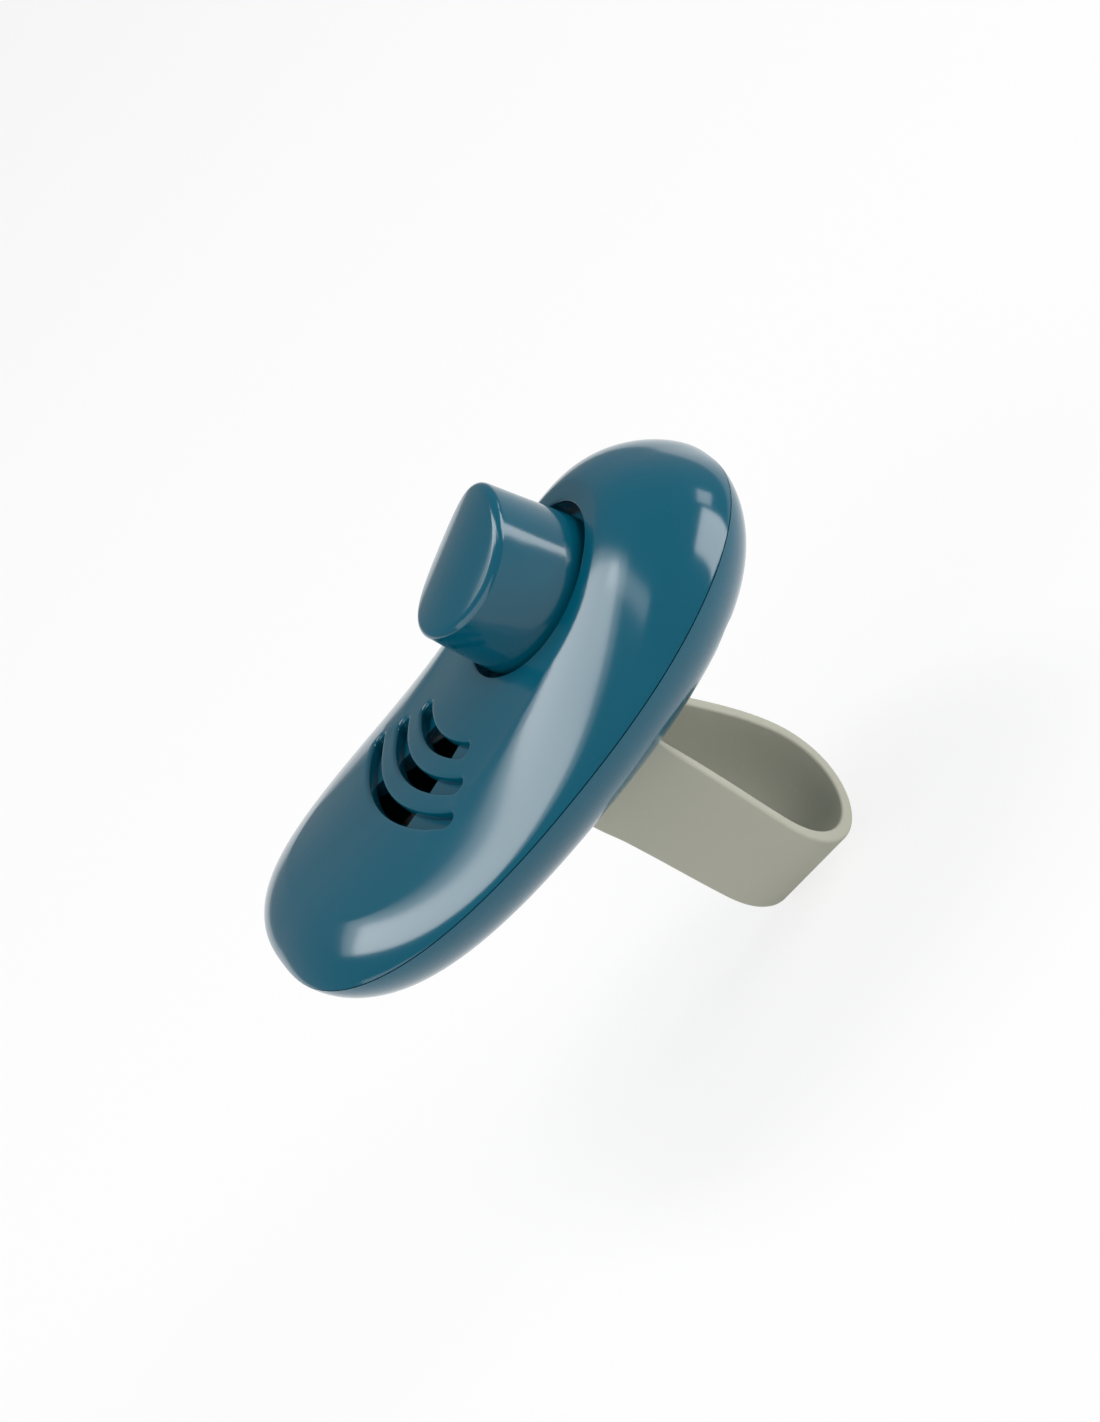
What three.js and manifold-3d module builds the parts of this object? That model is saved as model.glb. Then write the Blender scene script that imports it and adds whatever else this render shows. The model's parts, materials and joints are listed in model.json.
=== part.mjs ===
// Finger-strap sound clicker: a pebble of two moulded shells, a round push button on a hinge, a spring-steel
// click plate under three arc sound slots, and a soft strap that goes round the finger.
// Millimetres. X runs along the body towards the button end, Y across it, Z up through the button.
// The modelling frame has the seam of the shells near z = 0; the last lines move the origin to the belly.
import * as THREE from "three";
import { mergeVertices } from "three/addons/utils/BufferGeometryUtils.js";
import Module from "manifold-3d";

const wasm = await Module();
wasm.setup();

// Body outline, seen from above
const bodyLength = 66;
const bodyWidth = 45.8;
const planExponent = 2.63;
const noseNarrowing = 0.107;

// Seam line, which curls up a little towards both ends
const seamRise = 2.1;
const seamNoseRise = 0.37;
const seamGap = 0.2;

// Top shell: height over the seam at four stations, and the shoulder that rounds down to the seam
const topTail = 7;
const topRear = 3.9;
const topFront = 7.04;
const topNose = 11.4;
const topShoulderTail = 11.2;
const topShoulderNose = 10.2;
const topShoulderExponent = 1.32;
const topCrown = 0.83;

// Bottom shell: depth below the seam at three stations, and its rounder flank
const bellyTail = 7.2;
const bellyMiddle = 6.7;
const bellyNose = 7.8;
const bellyFlankTail = 7.4;
const bellyFlankNose = 8.7;
const bellyExponent = 1.66;
const bellyCrown = 0.47;

// Walls and the lip that keys the shells together
const wall = 2;
const lipSkin = 1.2;
const lipThickness = 0.8;
const lipHeight = 1;
const lipRoot = 1;
const fitGap = 0.3;

// Button, its well and its hinge; the face is cut askew to the button's axis and falls away to both sides,
// and both fade out down the wall
const buttonTilt = THREE.MathUtils.degToRad(15);
const faceX = 8.75;
const faceZ = 16.3;
const faceRadius = 8.1;
const faceRounding = 0.85;
const faceSkew = THREE.MathUtils.degToRad(4.1);
const faceCrown = 1.45;
const faceFade = 4;
const buttonDraft = 0.06;
const buttonWall = 1.5;
const flangeDepth = 11.4;
const flangeThickness = 1.2;
const flangeRadius = 10.4;
const plungerRadius = 1.6;
const ribThickness = 1;
const ribDepth = 4;
const ribRoot = 0.1;
const wellX = 11.27;
const wellZ = 8;
const wellRadius = 9.64;
const pivotX = -2;
const pivotZ = 1;
const pinRadius = 0.9;
const pinClearance = 0.1;
const eyeRadius = 2;
const armThickness = 1.8;
const armInnerY = 5;
const armRootRadius = 0.9;
const armRootInset = 1.2;
const earThickness = 1.8;

// Sound slots: arcs about one centre, each ending at its own angle, and open only in their middle
const slotCentreX = 10.24;
const slotCount = 3;
const firstSlotRadius = 15.5;
const slotPitch = 4;
const slotWidth = 1.75;
const slotDepth = 1;
const slotEndAngles = [26.5, 30.5, 32.5];
const slotOpenAngle = 18.7;
const slotSteps = 8;

// Click plate of spring steel, its clamp and the pedestal under it
const plateThickness = 0.5;
const plateWidth = 9;
const plateRootX = -21.5;
const plateTipX = 16.5;
const plateZ = -0.6;
const plateHingeX = -18.5;
const dimpleX = -8;
const dimpleRadius = 3;
const dimpleHeight = 0.6;
const clampLength = 5;
const clampWidth = 12;
const clampThickness = 1.4;
const clampCorner = 1;
const clampScrewY = 2.9;
const pedestalLength = 6;

// Strap: one soft band, both ends held in the belly
const strapWidth = 11.4;
const strapThickness = 1.4;
const strapX = 2.9;
const strapRootY = 4.4;
const strapBulge = 8.28;
const strapNearPinch = 2.4;
const strapLegLength = 21.1;
const strapBowlDepth = 8.66;
const strapLean = -0.287;
const strapYaw = -0.245;
const strapRoll = 0.047;
const strapTwist = -0.23;
const strapSweep = -0.71;
const strapTwistSpan = 20;
const strapRootBlend = 8;
const strapHeadWidth = 4.2;
const strapHeadHeight = 1.2;
const strapLegSteps = 14;
const strapBowlSteps = 16;

// Flat land on the belly, the strap retainer and its screws
const landLength = 15;
const landWidth = 15;
const landRadius = 3;
const landZ = -7.5;
const landThickness = 1.4;
const strapRootZ = -7.14;
const floorZ = -5;
const floorLength = 14;
const floorWidth = 24;
const retainerThickness = 0.8;
const retainerLength = 13;
const retainerWidth = 24;
const retainerScrewInset = 2.4;

// Screws: those of the shells stand at set insets from the ends and sides of the body
const shellScrewNoseInset = [13, 10.3];
const shellScrewTailInset = [11.5, 11.9];
const shellScrewSeatZ = -2.6;
const shellScrewLength = 5.4;
const shellScrewRadius = 1.1;
const shellScrewHeadRadius = 2;
const shellScrewHeadHeight = 1.4;
const shellBossWall = 1.2;
const smallScrewRadius = 0.9;
const smallScrewHeadRadius = 1.6;
const smallScrewHeadHeight = 0.8;
const retainerScrewLength = 3.2;
const clampScrewLength = 5;

// How far a cutting body reaches past what it cuts, and a half shell past the seam before it is trimmed
const cutterReach = 8;
const skirt = 3;

// Fineness of the faceted surfaces
const outside = { outline: 72, rim: 6, plateau: [0.75, 0.4] };
const inside = { outline: 32, rim: 3, plateau: [0.5] };
const roundSteps = 24;
const cornerSteps = 7;
const seamSteps = 18;

const halfLength = bodyLength / 2;
const halfWidth = bodyWidth / 2;
const retainerScrewY = retainerWidth / 2 - retainerScrewInset;

const tealGloss = new THREE.MeshStandardMaterial({ color: 0x0b5675, roughness: 0.18, metalness: 0 });
const strapGrey = new THREE.MeshStandardMaterial({ color: 0x9c9e92, roughness: 0.75, metalness: 0 });
const springSteel = new THREE.MeshStandardMaterial({ color: 0xb8bcc0, roughness: 0.3, metalness: 1 });
const zincSteel = new THREE.MeshStandardMaterial({ color: 0x9fa4a8, roughness: 0.4, metalness: 1 });

// Turns a closed three.js geometry into a solid that can be joined and cut
function solid(geometry) {
  const bare = geometry.clone();
  bare.deleteAttribute("normal");
  bare.deleteAttribute("uv");
  const merged = mergeVertices(bare, 1e-4);
  const vertProperties = merged.getAttribute("position").array;
  const triVerts = new Uint32Array(merged.getIndex().array);
  return new wasm.Manifold(new wasm.Mesh({ numProp: 3, vertProperties, triVerts }));
}

// Turns a solid back into a three.js geometry
function geometryOf(body) {
  const mesh = body.getMesh();
  const geometry = new THREE.BufferGeometry();
  geometry.setAttribute("position", new THREE.BufferAttribute(mesh.vertProperties, 3));
  geometry.setIndex(new THREE.BufferAttribute(mesh.triVerts, 1));
  geometry.computeVertexNormals();
  return geometry;
}

function joined(first, ...others) {
  return others.reduce((sum, body) => sum.add(body), first);
}

function cut(body, ...cutters) {
  return cutters.reduce((rest, cutter) => rest.subtract(cutter), body);
}

// Closed surface through rings of equal point counts, with a single point at each end
function loft(start, rings, end) {
  const points = [start, ...rings.flat(), end];
  const count = rings[0].length;
  const last = points.length - 1;
  const faces = [];
  for (let i = 0; i < count; i++) {
    const j = (i + 1) % count;
    faces.push(0, 1 + j, 1 + i);
    for (let k = 0; k < rings.length - 1; k++) {
      const low = 1 + k * count;
      const high = low + count;
      faces.push(low + i, low + j, high + j, low + i, high + j, high + i);
    }
    const top = 1 + (rings.length - 1) * count;
    faces.push(top + i, top + j, last);
  }
  const geometry = new THREE.BufferGeometry();
  geometry.setAttribute("position", new THREE.Float32BufferAttribute(points.flat(), 3));
  geometry.setIndex(faces);
  return geometry;
}

// Value of the polynomial through evenly spaced stations from the tail (-1) to the nose (+1)
function throughStations(values, along) {
  const step = 2 / (values.length - 1);
  let sum = 0;
  values.forEach((value, i) => {
    const at = -1 + i * step;
    let weight = value;
    for (let j = 0; j < values.length; j++) {
      if (j !== i) weight *= (along + 1 - j * step) / (at + 1 - j * step);
    }
    sum += weight;
  });
  return sum;
}

function seamHeight(x) {
  const along = x / halfLength;
  return seamRise * along ** 2 + seamNoseRise * along ** 3;
}

const topForm = {
  side: 1,
  heights: [topTail, topRear, topFront, topNose],
  shoulders: [topShoulderTail, topShoulderNose],
  exponent: topShoulderExponent,
  crown: topCrown,
};
const bellyForm = {
  side: -1,
  heights: [bellyTail, bellyMiddle, bellyNose],
  shoulders: [bellyFlankTail, bellyFlankNose],
  exponent: bellyExponent,
  crown: bellyCrown,
};

// Reach of the body's outline in one direction, for half sizes of 1
function outlineReach(angle) {
  const along = Math.abs(Math.cos(angle)) ** planExponent;
  const across = Math.abs(Math.sin(angle)) ** planExponent;
  return (along + across) ** (-1 / planExponent);
}

// Point of the outline moved inwards by an inset, or shrunk by a share
function outlinePoint(angle, inset, share = 1) {
  const reach = outlineReach(angle) * share;
  const x = (halfLength - inset) * reach * Math.cos(angle);
  const narrowing = 1 - (noseNarrowing * x) / halfLength;
  const y = (halfWidth - inset) * reach * Math.sin(angle) * narrowing;
  return [x, y];
}

// One ring of the body's surface, from a height rule for each outline point
function ring(steps, pointAt) {
  const points = [];
  for (let i = 0; i < steps; i++) points.push(pointAt((i / steps) * 2 * Math.PI));
  return points;
}

// Half of the pebble on one side of the seam, all its faces moved inwards by an offset, with a straight
// skirt past the seam
function pebbleHalf(form, offset, detail = inside) {
  const rings = [];
  const seamRing = (share, drop) =>
    ring(detail.outline, (angle) => {
      const [x, y] = outlinePoint(angle, offset, share);
      return [x, y, seamHeight(x) - form.side * drop];
    });
  rings.push(seamRing(1, skirt));
  rings.push(seamRing(1, 0));
  const shoulderAt = (angle) => {
    const along = outlinePoint(angle, offset)[0] / halfLength;
    return throughStations(form.shoulders, along) - offset;
  };
  const heightAt = (x) => throughStations(form.heights, x / halfLength) - offset;
  for (let step = 1; step <= detail.rim; step++) {
    const turn = (step / detail.rim) * (Math.PI / 2);
    const outward = Math.max(Math.cos(turn), 0) ** (2 / form.exponent);
    const rise = Math.sin(turn) ** (2 / form.exponent);
    rings.push(
      ring(detail.outline, (angle) => {
        const inset = offset + shoulderAt(angle) * (1 - outward);
        const [x, y] = outlinePoint(angle, inset);
        return [x, y, seamHeight(x) + form.side * heightAt(x) * rise];
      }),
    );
  }
  for (const share of detail.plateau) {
    rings.push(
      ring(detail.outline, (angle) => {
        const [x, y] = outlinePoint(angle, offset + shoulderAt(angle), share);
        const crown = form.crown * (1 - share ** 2);
        return [x, y, seamHeight(x) + form.side * (heightAt(x) + crown)];
      }),
    );
  }
  const start = [0, 0, -form.side * skirt];
  const end = [0, 0, form.side * (heightAt(0) + form.crown)];
  const geometry = loft(start, rings, end);
  if (form.side < 0) geometry.index.array.reverse();
  return solid(geometry);
}

// Slab between two heights measured from the seam, wider than the body
function seamSlab(low, high) {
  const reach = halfLength + cutterReach;
  const at = (i) => -reach + (2 * reach * i) / seamSteps;
  const outline = [];
  for (let i = 0; i <= seamSteps; i++) outline.push(new THREE.Vector2(at(i), seamHeight(at(i)) + low));
  for (let i = seamSteps; i >= 0; i--) outline.push(new THREE.Vector2(at(i), seamHeight(at(i)) + high));
  return sideways(new THREE.Shape(outline), bodyWidth + 2 * cutterReach, -halfWidth - cutterReach);
}

// Shape drawn in X and Z, extruded along Y from one side
function sideways(shape, depth, fromY) {
  const geometry = new THREE.ExtrudeGeometry(shape, { depth, bevelEnabled: false, curveSegments: cornerSteps });
  geometry.rotateX(Math.PI / 2);
  geometry.translate(0, fromY + depth, 0);
  return solid(geometry);
}

// Shape drawn in X and Y, extruded upwards from one height
function upright(shape, depth, fromZ) {
  const geometry = new THREE.ExtrudeGeometry(shape, { depth, bevelEnabled: false, curveSegments: cornerSteps });
  geometry.translate(0, 0, fromZ);
  return solid(geometry);
}

function box(x, y, z, sizeX, sizeY, sizeZ) {
  const geometry = new THREE.BoxGeometry(sizeX, sizeY, sizeZ);
  geometry.translate(x, y, z);
  return solid(geometry);
}

// Cylinder along Z between two heights
function post(x, y, low, high, radius) {
  const geometry = new THREE.CylinderGeometry(radius, radius, high - low, roundSteps);
  geometry.rotateX(Math.PI / 2);
  geometry.translate(x, y, (low + high) / 2);
  return solid(geometry);
}

// Cylinder along Y, centred on y = 0
function crossPin(x, z, length, radius) {
  const geometry = new THREE.CylinderGeometry(radius, radius, length, roundSteps);
  geometry.translate(x, 0, z);
  return solid(geometry);
}

// Rectangle with round corners, centred on a point
function roundedRectangle(x, y, sizeX, sizeY, radius) {
  const shape = new THREE.Shape();
  const right = x + sizeX / 2 - radius;
  const left = x - sizeX / 2 + radius;
  const top = y + sizeY / 2 - radius;
  const bottom = y - sizeY / 2 + radius;
  shape.absarc(right, top, radius, 0, Math.PI / 2);
  shape.absarc(left, top, radius, Math.PI / 2, Math.PI);
  shape.absarc(left, bottom, radius, Math.PI, 1.5 * Math.PI);
  shape.absarc(right, bottom, radius, 1.5 * Math.PI, 2 * Math.PI);
  return shape;
}

// Places of the four shell screws
function shellScrewPlaces() {
  const places = [];
  const ends = { nose: [1, shellScrewNoseInset], tail: [-1, shellScrewTailInset] };
  for (const [end, [direction, [insetX, insetY]]] of Object.entries(ends)) {
    const x = direction * (halfLength - insetX);
    const y = halfWidth - insetY;
    places.push({ name: `${end}_left`, x, y });
    places.push({ name: `${end}_right`, x, y: -y });
  }
  return places;
}

// One sound slot: an arc with round ends, as a tall cutter
function slotCutter(index) {
  const inner = firstSlotRadius + index * slotPitch;
  const outer = inner + slotWidth;
  const middle = inner + slotWidth / 2;
  const half = THREE.MathUtils.degToRad(slotEndAngles[index]) - slotWidth / 2 / middle;
  const from = Math.PI - half;
  const to = Math.PI + half;
  const shape = new THREE.Shape();
  shape.absarc(slotCentreX, 0, outer, from, to);
  const nearEnd = [slotCentreX + middle * Math.cos(to), middle * Math.sin(to)];
  shape.absarc(nearEnd[0], nearEnd[1], slotWidth / 2, to, to + Math.PI);
  shape.absarc(slotCentreX, 0, inner, to, from, true);
  const farEnd = [slotCentreX + middle * Math.cos(from), middle * Math.sin(from)];
  shape.absarc(farEnd[0], farEnd[1], slotWidth / 2, from - Math.PI, from);
  const geometry = new THREE.ExtrudeGeometry(shape, {
    depth: topNose,
    bevelEnabled: false,
    curveSegments: slotSteps,
  });
  return solid(geometry);
}

// Wedge about the slots' centre in which they open into the chamber
function slotWedge() {
  const reach = firstSlotRadius + slotCount * slotPitch;
  const half = THREE.MathUtils.degToRad(slotOpenAngle);
  const shape = new THREE.Shape();
  shape.moveTo(slotCentreX, 0);
  shape.absarc(slotCentreX, 0, reach, Math.PI - half, Math.PI + half);
  shape.closePath();
  return upright(shape, topNose, 0);
}

function soundSlots() {
  const solidWall = pebbleHalf(topForm, slotDepth);
  const wedge = slotWedge();
  const cutters = [];
  for (let i = 0; i < slotCount; i++) {
    const whole = slotCutter(i);
    cutters.push(whole.subtract(solidWall));
    cutters.push(whole.intersect(wedge));
  }
  return cutters;
}

// Round well in which the button stands
function buttonWell() {
  const depth = 2 * wellRadius;
  const geometry = new THREE.CylinderGeometry(wellRadius, wellRadius, depth, 2 * roundSteps);
  geometry.rotateX(Math.PI / 2);
  geometry.rotateY(-buttonTilt);
  geometry.translate(wellX, 0, wellZ);
  return solid(geometry);
}

// Ears under the top shell that carry the button's pin
function pivotEars() {
  const inner = armInnerY + armThickness + fitGap;
  const bottom = pivotZ - eyeRadius;
  const height = topNose - bottom;
  const ears = [1, -1].map((side) =>
    box(pivotX, side * (inner + earThickness / 2), bottom + height / 2, 2 * eyeRadius, earThickness, height),
  );
  const bore = crossPin(pivotX, pivotZ, bodyWidth / 2, pinRadius + pinClearance);
  const skin = pebbleHalf(topForm, wall / 2);
  return joined(...ears).intersect(skin).subtract(bore);
}

// Screw bosses of the top shell, down to the seam
function topBosses() {
  const skin = pebbleHalf(topForm, wall / 2);
  const bosses = shellScrewPlaces().map(({ x, y }) => {
    const low = seamHeight(x) + fitGap / 2;
    const radius = shellScrewRadius + shellBossWall;
    return post(x, y, low, topNose, radius);
  });
  return joined(...bosses).intersect(skin);
}

function topShell() {
  const outer = pebbleHalf(topForm, 0, outside);
  const chamber = pebbleHalf(topForm, wall);
  const rebate = pebbleHalf(topForm, lipSkin).intersect(seamSlab(-skirt, lipHeight + fitGap));
  const pilots = shellScrewPlaces().map(({ x, y }) => {
    const top = shellScrewSeatZ + shellScrewLength + fitGap;
    return post(x, y, -cutterReach, top, shellScrewRadius + pinClearance);
  });
  const shell = cut(outer, seamSlab(-cutterReach, seamGap / 2), chamber, rebate);
  return cut(joined(shell, pivotEars(), topBosses()), buttonWell(), ...soundSlots(), ...pilots);
}

// Lip of the bottom shell that stands inside the top shell
function lip() {
  const outer = pebbleHalf(topForm, lipSkin + fitGap);
  const inner = pebbleHalf(topForm, lipSkin + fitGap + lipThickness);
  return outer.subtract(inner).intersect(seamSlab(-lipRoot, lipHeight));
}

// Screw bosses of the bottom shell, up to the seam
function bottomBosses() {
  const skin = pebbleHalf(bellyForm, wall / 2);
  const bosses = shellScrewPlaces().map(({ x, y }) => {
    const high = seamHeight(x) - fitGap / 2;
    const radius = shellScrewHeadRadius + fitGap + shellBossWall;
    return post(x, y, -2 * bellyNose, high, radius);
  });
  return joined(...bosses).intersect(skin);
}

function shellScrewHoles() {
  return shellScrewPlaces().flatMap(({ x, y }) => [
    post(x, y, -2 * bellyNose, shellScrewSeatZ, shellScrewHeadRadius + fitGap),
    post(x, y, -cutterReach, cutterReach, shellScrewRadius + pinClearance),
  ]);
}

// Pedestal that carries the root of the click plate
function platePedestal() {
  const top = plateZ - plateThickness / 2 - fitGap;
  const height = top + bellyTail;
  const block = box(plateHingeX, 0, top - height / 2, pedestalLength, clampWidth, height);
  return block.intersect(pebbleHalf(bellyForm, wall / 2));
}

function clampScrewHoles() {
  const low = clampScrewSeatZ() - clampScrewLength - fitGap;
  return [1, -1].map((side) =>
    post(plateHingeX, side * clampScrewY, low, cutterReach, smallScrewRadius + pinClearance),
  );
}

// Pillars beside the strap ends, for the retainer's screws
function retainerPillars() {
  const top = retainerBottomZ() - fitGap;
  const radius = smallScrewRadius + shellBossWall;
  const pillars = [1, -1].map((side) => post(strapX, side * retainerScrewY, landZ, top, radius));
  return joined(...pillars).intersect(pebbleHalf(bellyForm, wall / 2));
}

function retainerScrewHoles() {
  const low = retainerScrewSeatZ() - retainerScrewLength - fitGap;
  return [1, -1].map((side) =>
    post(strapX, side * retainerScrewY, low, cutterReach, smallScrewRadius + pinClearance),
  );
}

function bottomShell() {
  const outer = pebbleHalf(bellyForm, 0, outside);
  const chamber = pebbleHalf(bellyForm, wall);
  const shell = cut(outer, chamber, seamSlab(-seamGap / 2, cutterReach));
  const land = upright(roundedRectangle(strapX, 0, landLength, landWidth, landRadius), landThickness, landZ);
  const recess = upright(roundedRectangle(strapX, 0, floorLength, floorWidth, landRadius), -floorZ, floorZ);
  const floored = joined(shell, land).subtract(recess);
  const filled = joined(floored, lip(), bottomBosses(), platePedestal(), retainerPillars());
  const strapSlots = [1, -1].map((side) =>
    box(strapX, side * strapRootY, landZ, strapWidth + 2 * fitGap, strapThickness + 2 * fitGap, cutterReach),
  );
  return cut(filled, ...strapSlots, ...shellScrewHoles(), ...clampScrewHoles(), ...retainerScrewHoles());
}

// Point on the button's own axis, at a depth below its face
function onButtonAxis(depth) {
  return [faceX + depth * Math.sin(buttonTilt), faceZ - depth * Math.cos(buttonTilt)];
}

// Tilts a turned cup's face and bends it down towards both sides, less and less further down the wall
function shapeFace(geometry) {
  const place = geometry.getAttribute("position");
  for (let i = 0; i < place.count; i++) {
    const fade = Math.max(1 + place.getZ(i) / faceFade, 0);
    const lift = Math.tan(faceSkew) * place.getX(i);
    const drop = faceCrown * (place.getY(i) / faceRadius) ** 2;
    place.setZ(i, place.getZ(i) + (lift - drop) * fade);
  }
}

// Button cup with its flange and plunger: one turned profile, then its face shaped
function buttonCup() {
  const plateTop = plateZ + plateThickness / 2;
  const tipCentreZ = plateTop + fitGap + plungerRadius;
  const tipDepth = (faceZ - tipCentreZ) / Math.cos(buttonTilt);
  const sideRadius = (depth) => faceRadius + buttonDraft * depth;
  const profile = [];
  const tipSteps = 5;
  for (let i = 0; i <= tipSteps; i++) {
    const turn = (i / tipSteps) * (Math.PI / 2);
    const radius = plungerRadius * Math.sin(turn);
    profile.push(new THREE.Vector2(radius, -tipDepth - plungerRadius * Math.cos(turn)));
  }
  profile.push(new THREE.Vector2(plungerRadius, -buttonWall));
  profile.push(new THREE.Vector2(sideRadius(buttonWall) - buttonWall, -buttonWall));
  const flangeBottom = flangeDepth + flangeThickness;
  profile.push(new THREE.Vector2(sideRadius(flangeBottom) - buttonWall, -flangeBottom));
  profile.push(new THREE.Vector2(flangeRadius, -flangeBottom));
  profile.push(new THREE.Vector2(flangeRadius, -flangeDepth));
  profile.push(new THREE.Vector2(sideRadius(flangeDepth), -flangeDepth));
  profile.push(new THREE.Vector2(sideRadius(faceFade), -faceFade));
  const roundingSteps = 4;
  for (let i = 0; i <= roundingSteps; i++) {
    const turn = (i / roundingSteps) * (Math.PI / 2);
    const radius = sideRadius(faceRounding) - faceRounding * (1 - Math.cos(turn));
    profile.push(new THREE.Vector2(radius, -faceRounding * (1 - Math.sin(turn))));
  }
  const faceSteps = 4;
  for (let i = faceSteps - 1; i >= 0; i--) {
    profile.push(new THREE.Vector2((i / faceSteps) * (faceRadius - faceRounding), 0));
  }
  const geometry = new THREE.LatheGeometry(profile, 2 * roundSteps);
  geometry.rotateX(Math.PI / 2);
  shapeFace(geometry);
  geometry.rotateY(-buttonTilt);
  geometry.translate(faceX, 0, faceZ);
  return solid(geometry);
}

// Cross ribs between the plunger and the cup's wall
function buttonRibs() {
  const length = 2 * (faceRadius - buttonWall / 2);
  const ribs = [new THREE.BoxGeometry(length, ribThickness, ribDepth), new THREE.BoxGeometry(ribThickness, length, ribDepth)];
  return ribs.map((geometry) => {
    geometry.translate(0, 0, -buttonWall - ribDepth / 2 + ribRoot);
    geometry.rotateY(-buttonTilt);
    geometry.translate(faceX, 0, faceZ);
    return solid(geometry);
  });
}

// Two arms from the flange back to the hinge pin
function buttonArms() {
  const [flangeX, flangeZ] = onButtonAxis(flangeDepth + flangeThickness / 2);
  const armY = armInnerY + armThickness / 2;
  const chord = Math.sqrt(flangeRadius ** 2 - armY ** 2) - armRootInset;
  const endX = flangeX - chord * Math.cos(buttonTilt);
  const endZ = flangeZ - chord * Math.sin(buttonTilt);
  const slope = Math.atan2(endZ - pivotZ, endX - pivotX);
  const shape = new THREE.Shape();
  shape.absarc(pivotX, pivotZ, eyeRadius, slope + Math.PI / 3, slope + (5 * Math.PI) / 3);
  shape.absarc(endX, endZ, armRootRadius, slope - Math.PI / 2, slope + Math.PI / 2);
  shape.closePath();
  return [1, -1].map((side) => sideways(shape, armThickness, side * armY - armThickness / 2));
}

function button() {
  const whole = joined(buttonCup(), ...buttonRibs(), ...buttonArms());
  return whole.subtract(crossPin(pivotX, pivotZ, bodyWidth / 2, pinRadius + pinClearance));
}

function pivotPin() {
  const length = 2 * (armInnerY + armThickness + fitGap + earThickness);
  return crossPin(pivotX, pivotZ, length, pinRadius);
}

// Spring-steel strip with a pressed dimple and two holes at its root
function clickPlate() {
  const length = plateTipX - plateRootX;
  const outline = roundedRectangle((plateTipX + plateRootX) / 2, 0, length, plateWidth, plateWidth / 4);
  const strip = upright(outline, plateThickness, plateZ - plateThickness / 2);
  const sphereRadius = (dimpleRadius ** 2 + dimpleHeight ** 2) / (2 * dimpleHeight);
  const dome = (radius) => {
    const geometry = new THREE.SphereGeometry(radius, 24, 40);
    geometry.rotateX(Math.PI / 2);
    geometry.translate(dimpleX, 0, plateZ + plateThickness / 2 + dimpleHeight - sphereRadius);
    return solid(geometry);
  };
  const aboveStrip = box(dimpleX, 0, plateZ + cutterReach / 2, 4 * dimpleRadius, 4 * dimpleRadius, cutterReach);
  const bulge = dome(sphereRadius).intersect(aboveStrip);
  const holes = [1, -1].map((side) =>
    post(plateHingeX, side * clampScrewY, -cutterReach, cutterReach, smallScrewRadius + fitGap),
  );
  return cut(strip.add(bulge), dome(sphereRadius - plateThickness), ...holes);
}

function clampBottomZ() {
  return plateZ + plateThickness / 2 + fitGap;
}

function clampScrewSeatZ() {
  return clampBottomZ() + clampThickness + fitGap;
}

function plateClamp() {
  const outline = roundedRectangle(plateHingeX, 0, clampLength, clampWidth, clampCorner);
  const bar = upright(outline, clampThickness, clampBottomZ());
  const holes = [1, -1].map((side) =>
    post(plateHingeX, side * clampScrewY, -cutterReach, cutterReach, smallScrewRadius + pinClearance),
  );
  return cut(bar, ...holes);
}

// Screw along Z with a round head and a driver cross; the seat is the underside of the head
function screw(x, y, seatZ, upwards, size) {
  const profile = [
    new THREE.Vector2(0, -size.length),
    new THREE.Vector2(size.radius * 0.6, -size.length),
    new THREE.Vector2(size.radius, -size.length + size.radius),
    new THREE.Vector2(size.radius, 0),
    new THREE.Vector2(size.headRadius, 0),
    new THREE.Vector2(size.headRadius, size.headHeight * 0.6),
    new THREE.Vector2(size.headRadius * 0.75, size.headHeight),
    new THREE.Vector2(0, size.headHeight),
  ];
  const turned = new THREE.LatheGeometry(profile, roundSteps - 8);
  turned.rotateX(Math.PI / 2);
  const slot = size.headRadius * 1.1;
  const groove = size.headRadius * 0.24;
  const depth = size.headHeight * 0.9;
  const crossOne = new THREE.BoxGeometry(slot, groove, depth);
  const crossTwo = new THREE.BoxGeometry(groove, slot, depth);
  const pieces = [turned, crossOne, crossTwo];
  crossOne.translate(0, 0, size.headHeight);
  crossTwo.translate(0, 0, size.headHeight);
  for (const geometry of pieces) {
    if (upwards) geometry.rotateX(Math.PI);
    geometry.translate(x, y, seatZ);
  }
  const [body, first, second] = pieces.map(solid);
  return cut(body, first, second);
}

const shellScrewSize = {
  length: shellScrewLength,
  radius: shellScrewRadius,
  headRadius: shellScrewHeadRadius,
  headHeight: shellScrewHeadHeight,
};
const clampScrewSize = {
  length: clampScrewLength,
  radius: smallScrewRadius,
  headRadius: smallScrewHeadRadius,
  headHeight: smallScrewHeadHeight,
};
const retainerScrewSize = { ...clampScrewSize, length: retainerScrewLength };

// Strap line in its own plane: across the finger, and down from the belly
function strapLine() {
  const line = [];
  const ease = (share) => 3 * share ** 2 - 2 * share ** 3;
  const nearBulge = strapBulge - strapNearPinch;
  for (let i = 0; i <= strapLegSteps; i++) {
    const share = i / strapLegSteps;
    line.push([-(strapRootY + (nearBulge - strapRootY) * ease(share)), share * strapLegLength]);
  }
  for (let i = 1; i <= strapBowlSteps; i++) {
    const turn = (i / strapBowlSteps) * Math.PI;
    const shift = (strapNearPinch * (Math.cos(turn) + 1)) / 2;
    line.push([-strapBulge * Math.cos(turn) + shift, strapLegLength + strapBowlDepth * Math.sin(turn)]);
  }
  for (let i = strapLegSteps - 1; i >= 0; i--) {
    const share = i / strapLegSteps;
    line.push([strapRootY + (strapBulge - strapRootY) * ease(share), share * strapLegLength]);
  }
  return line;
}

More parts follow.
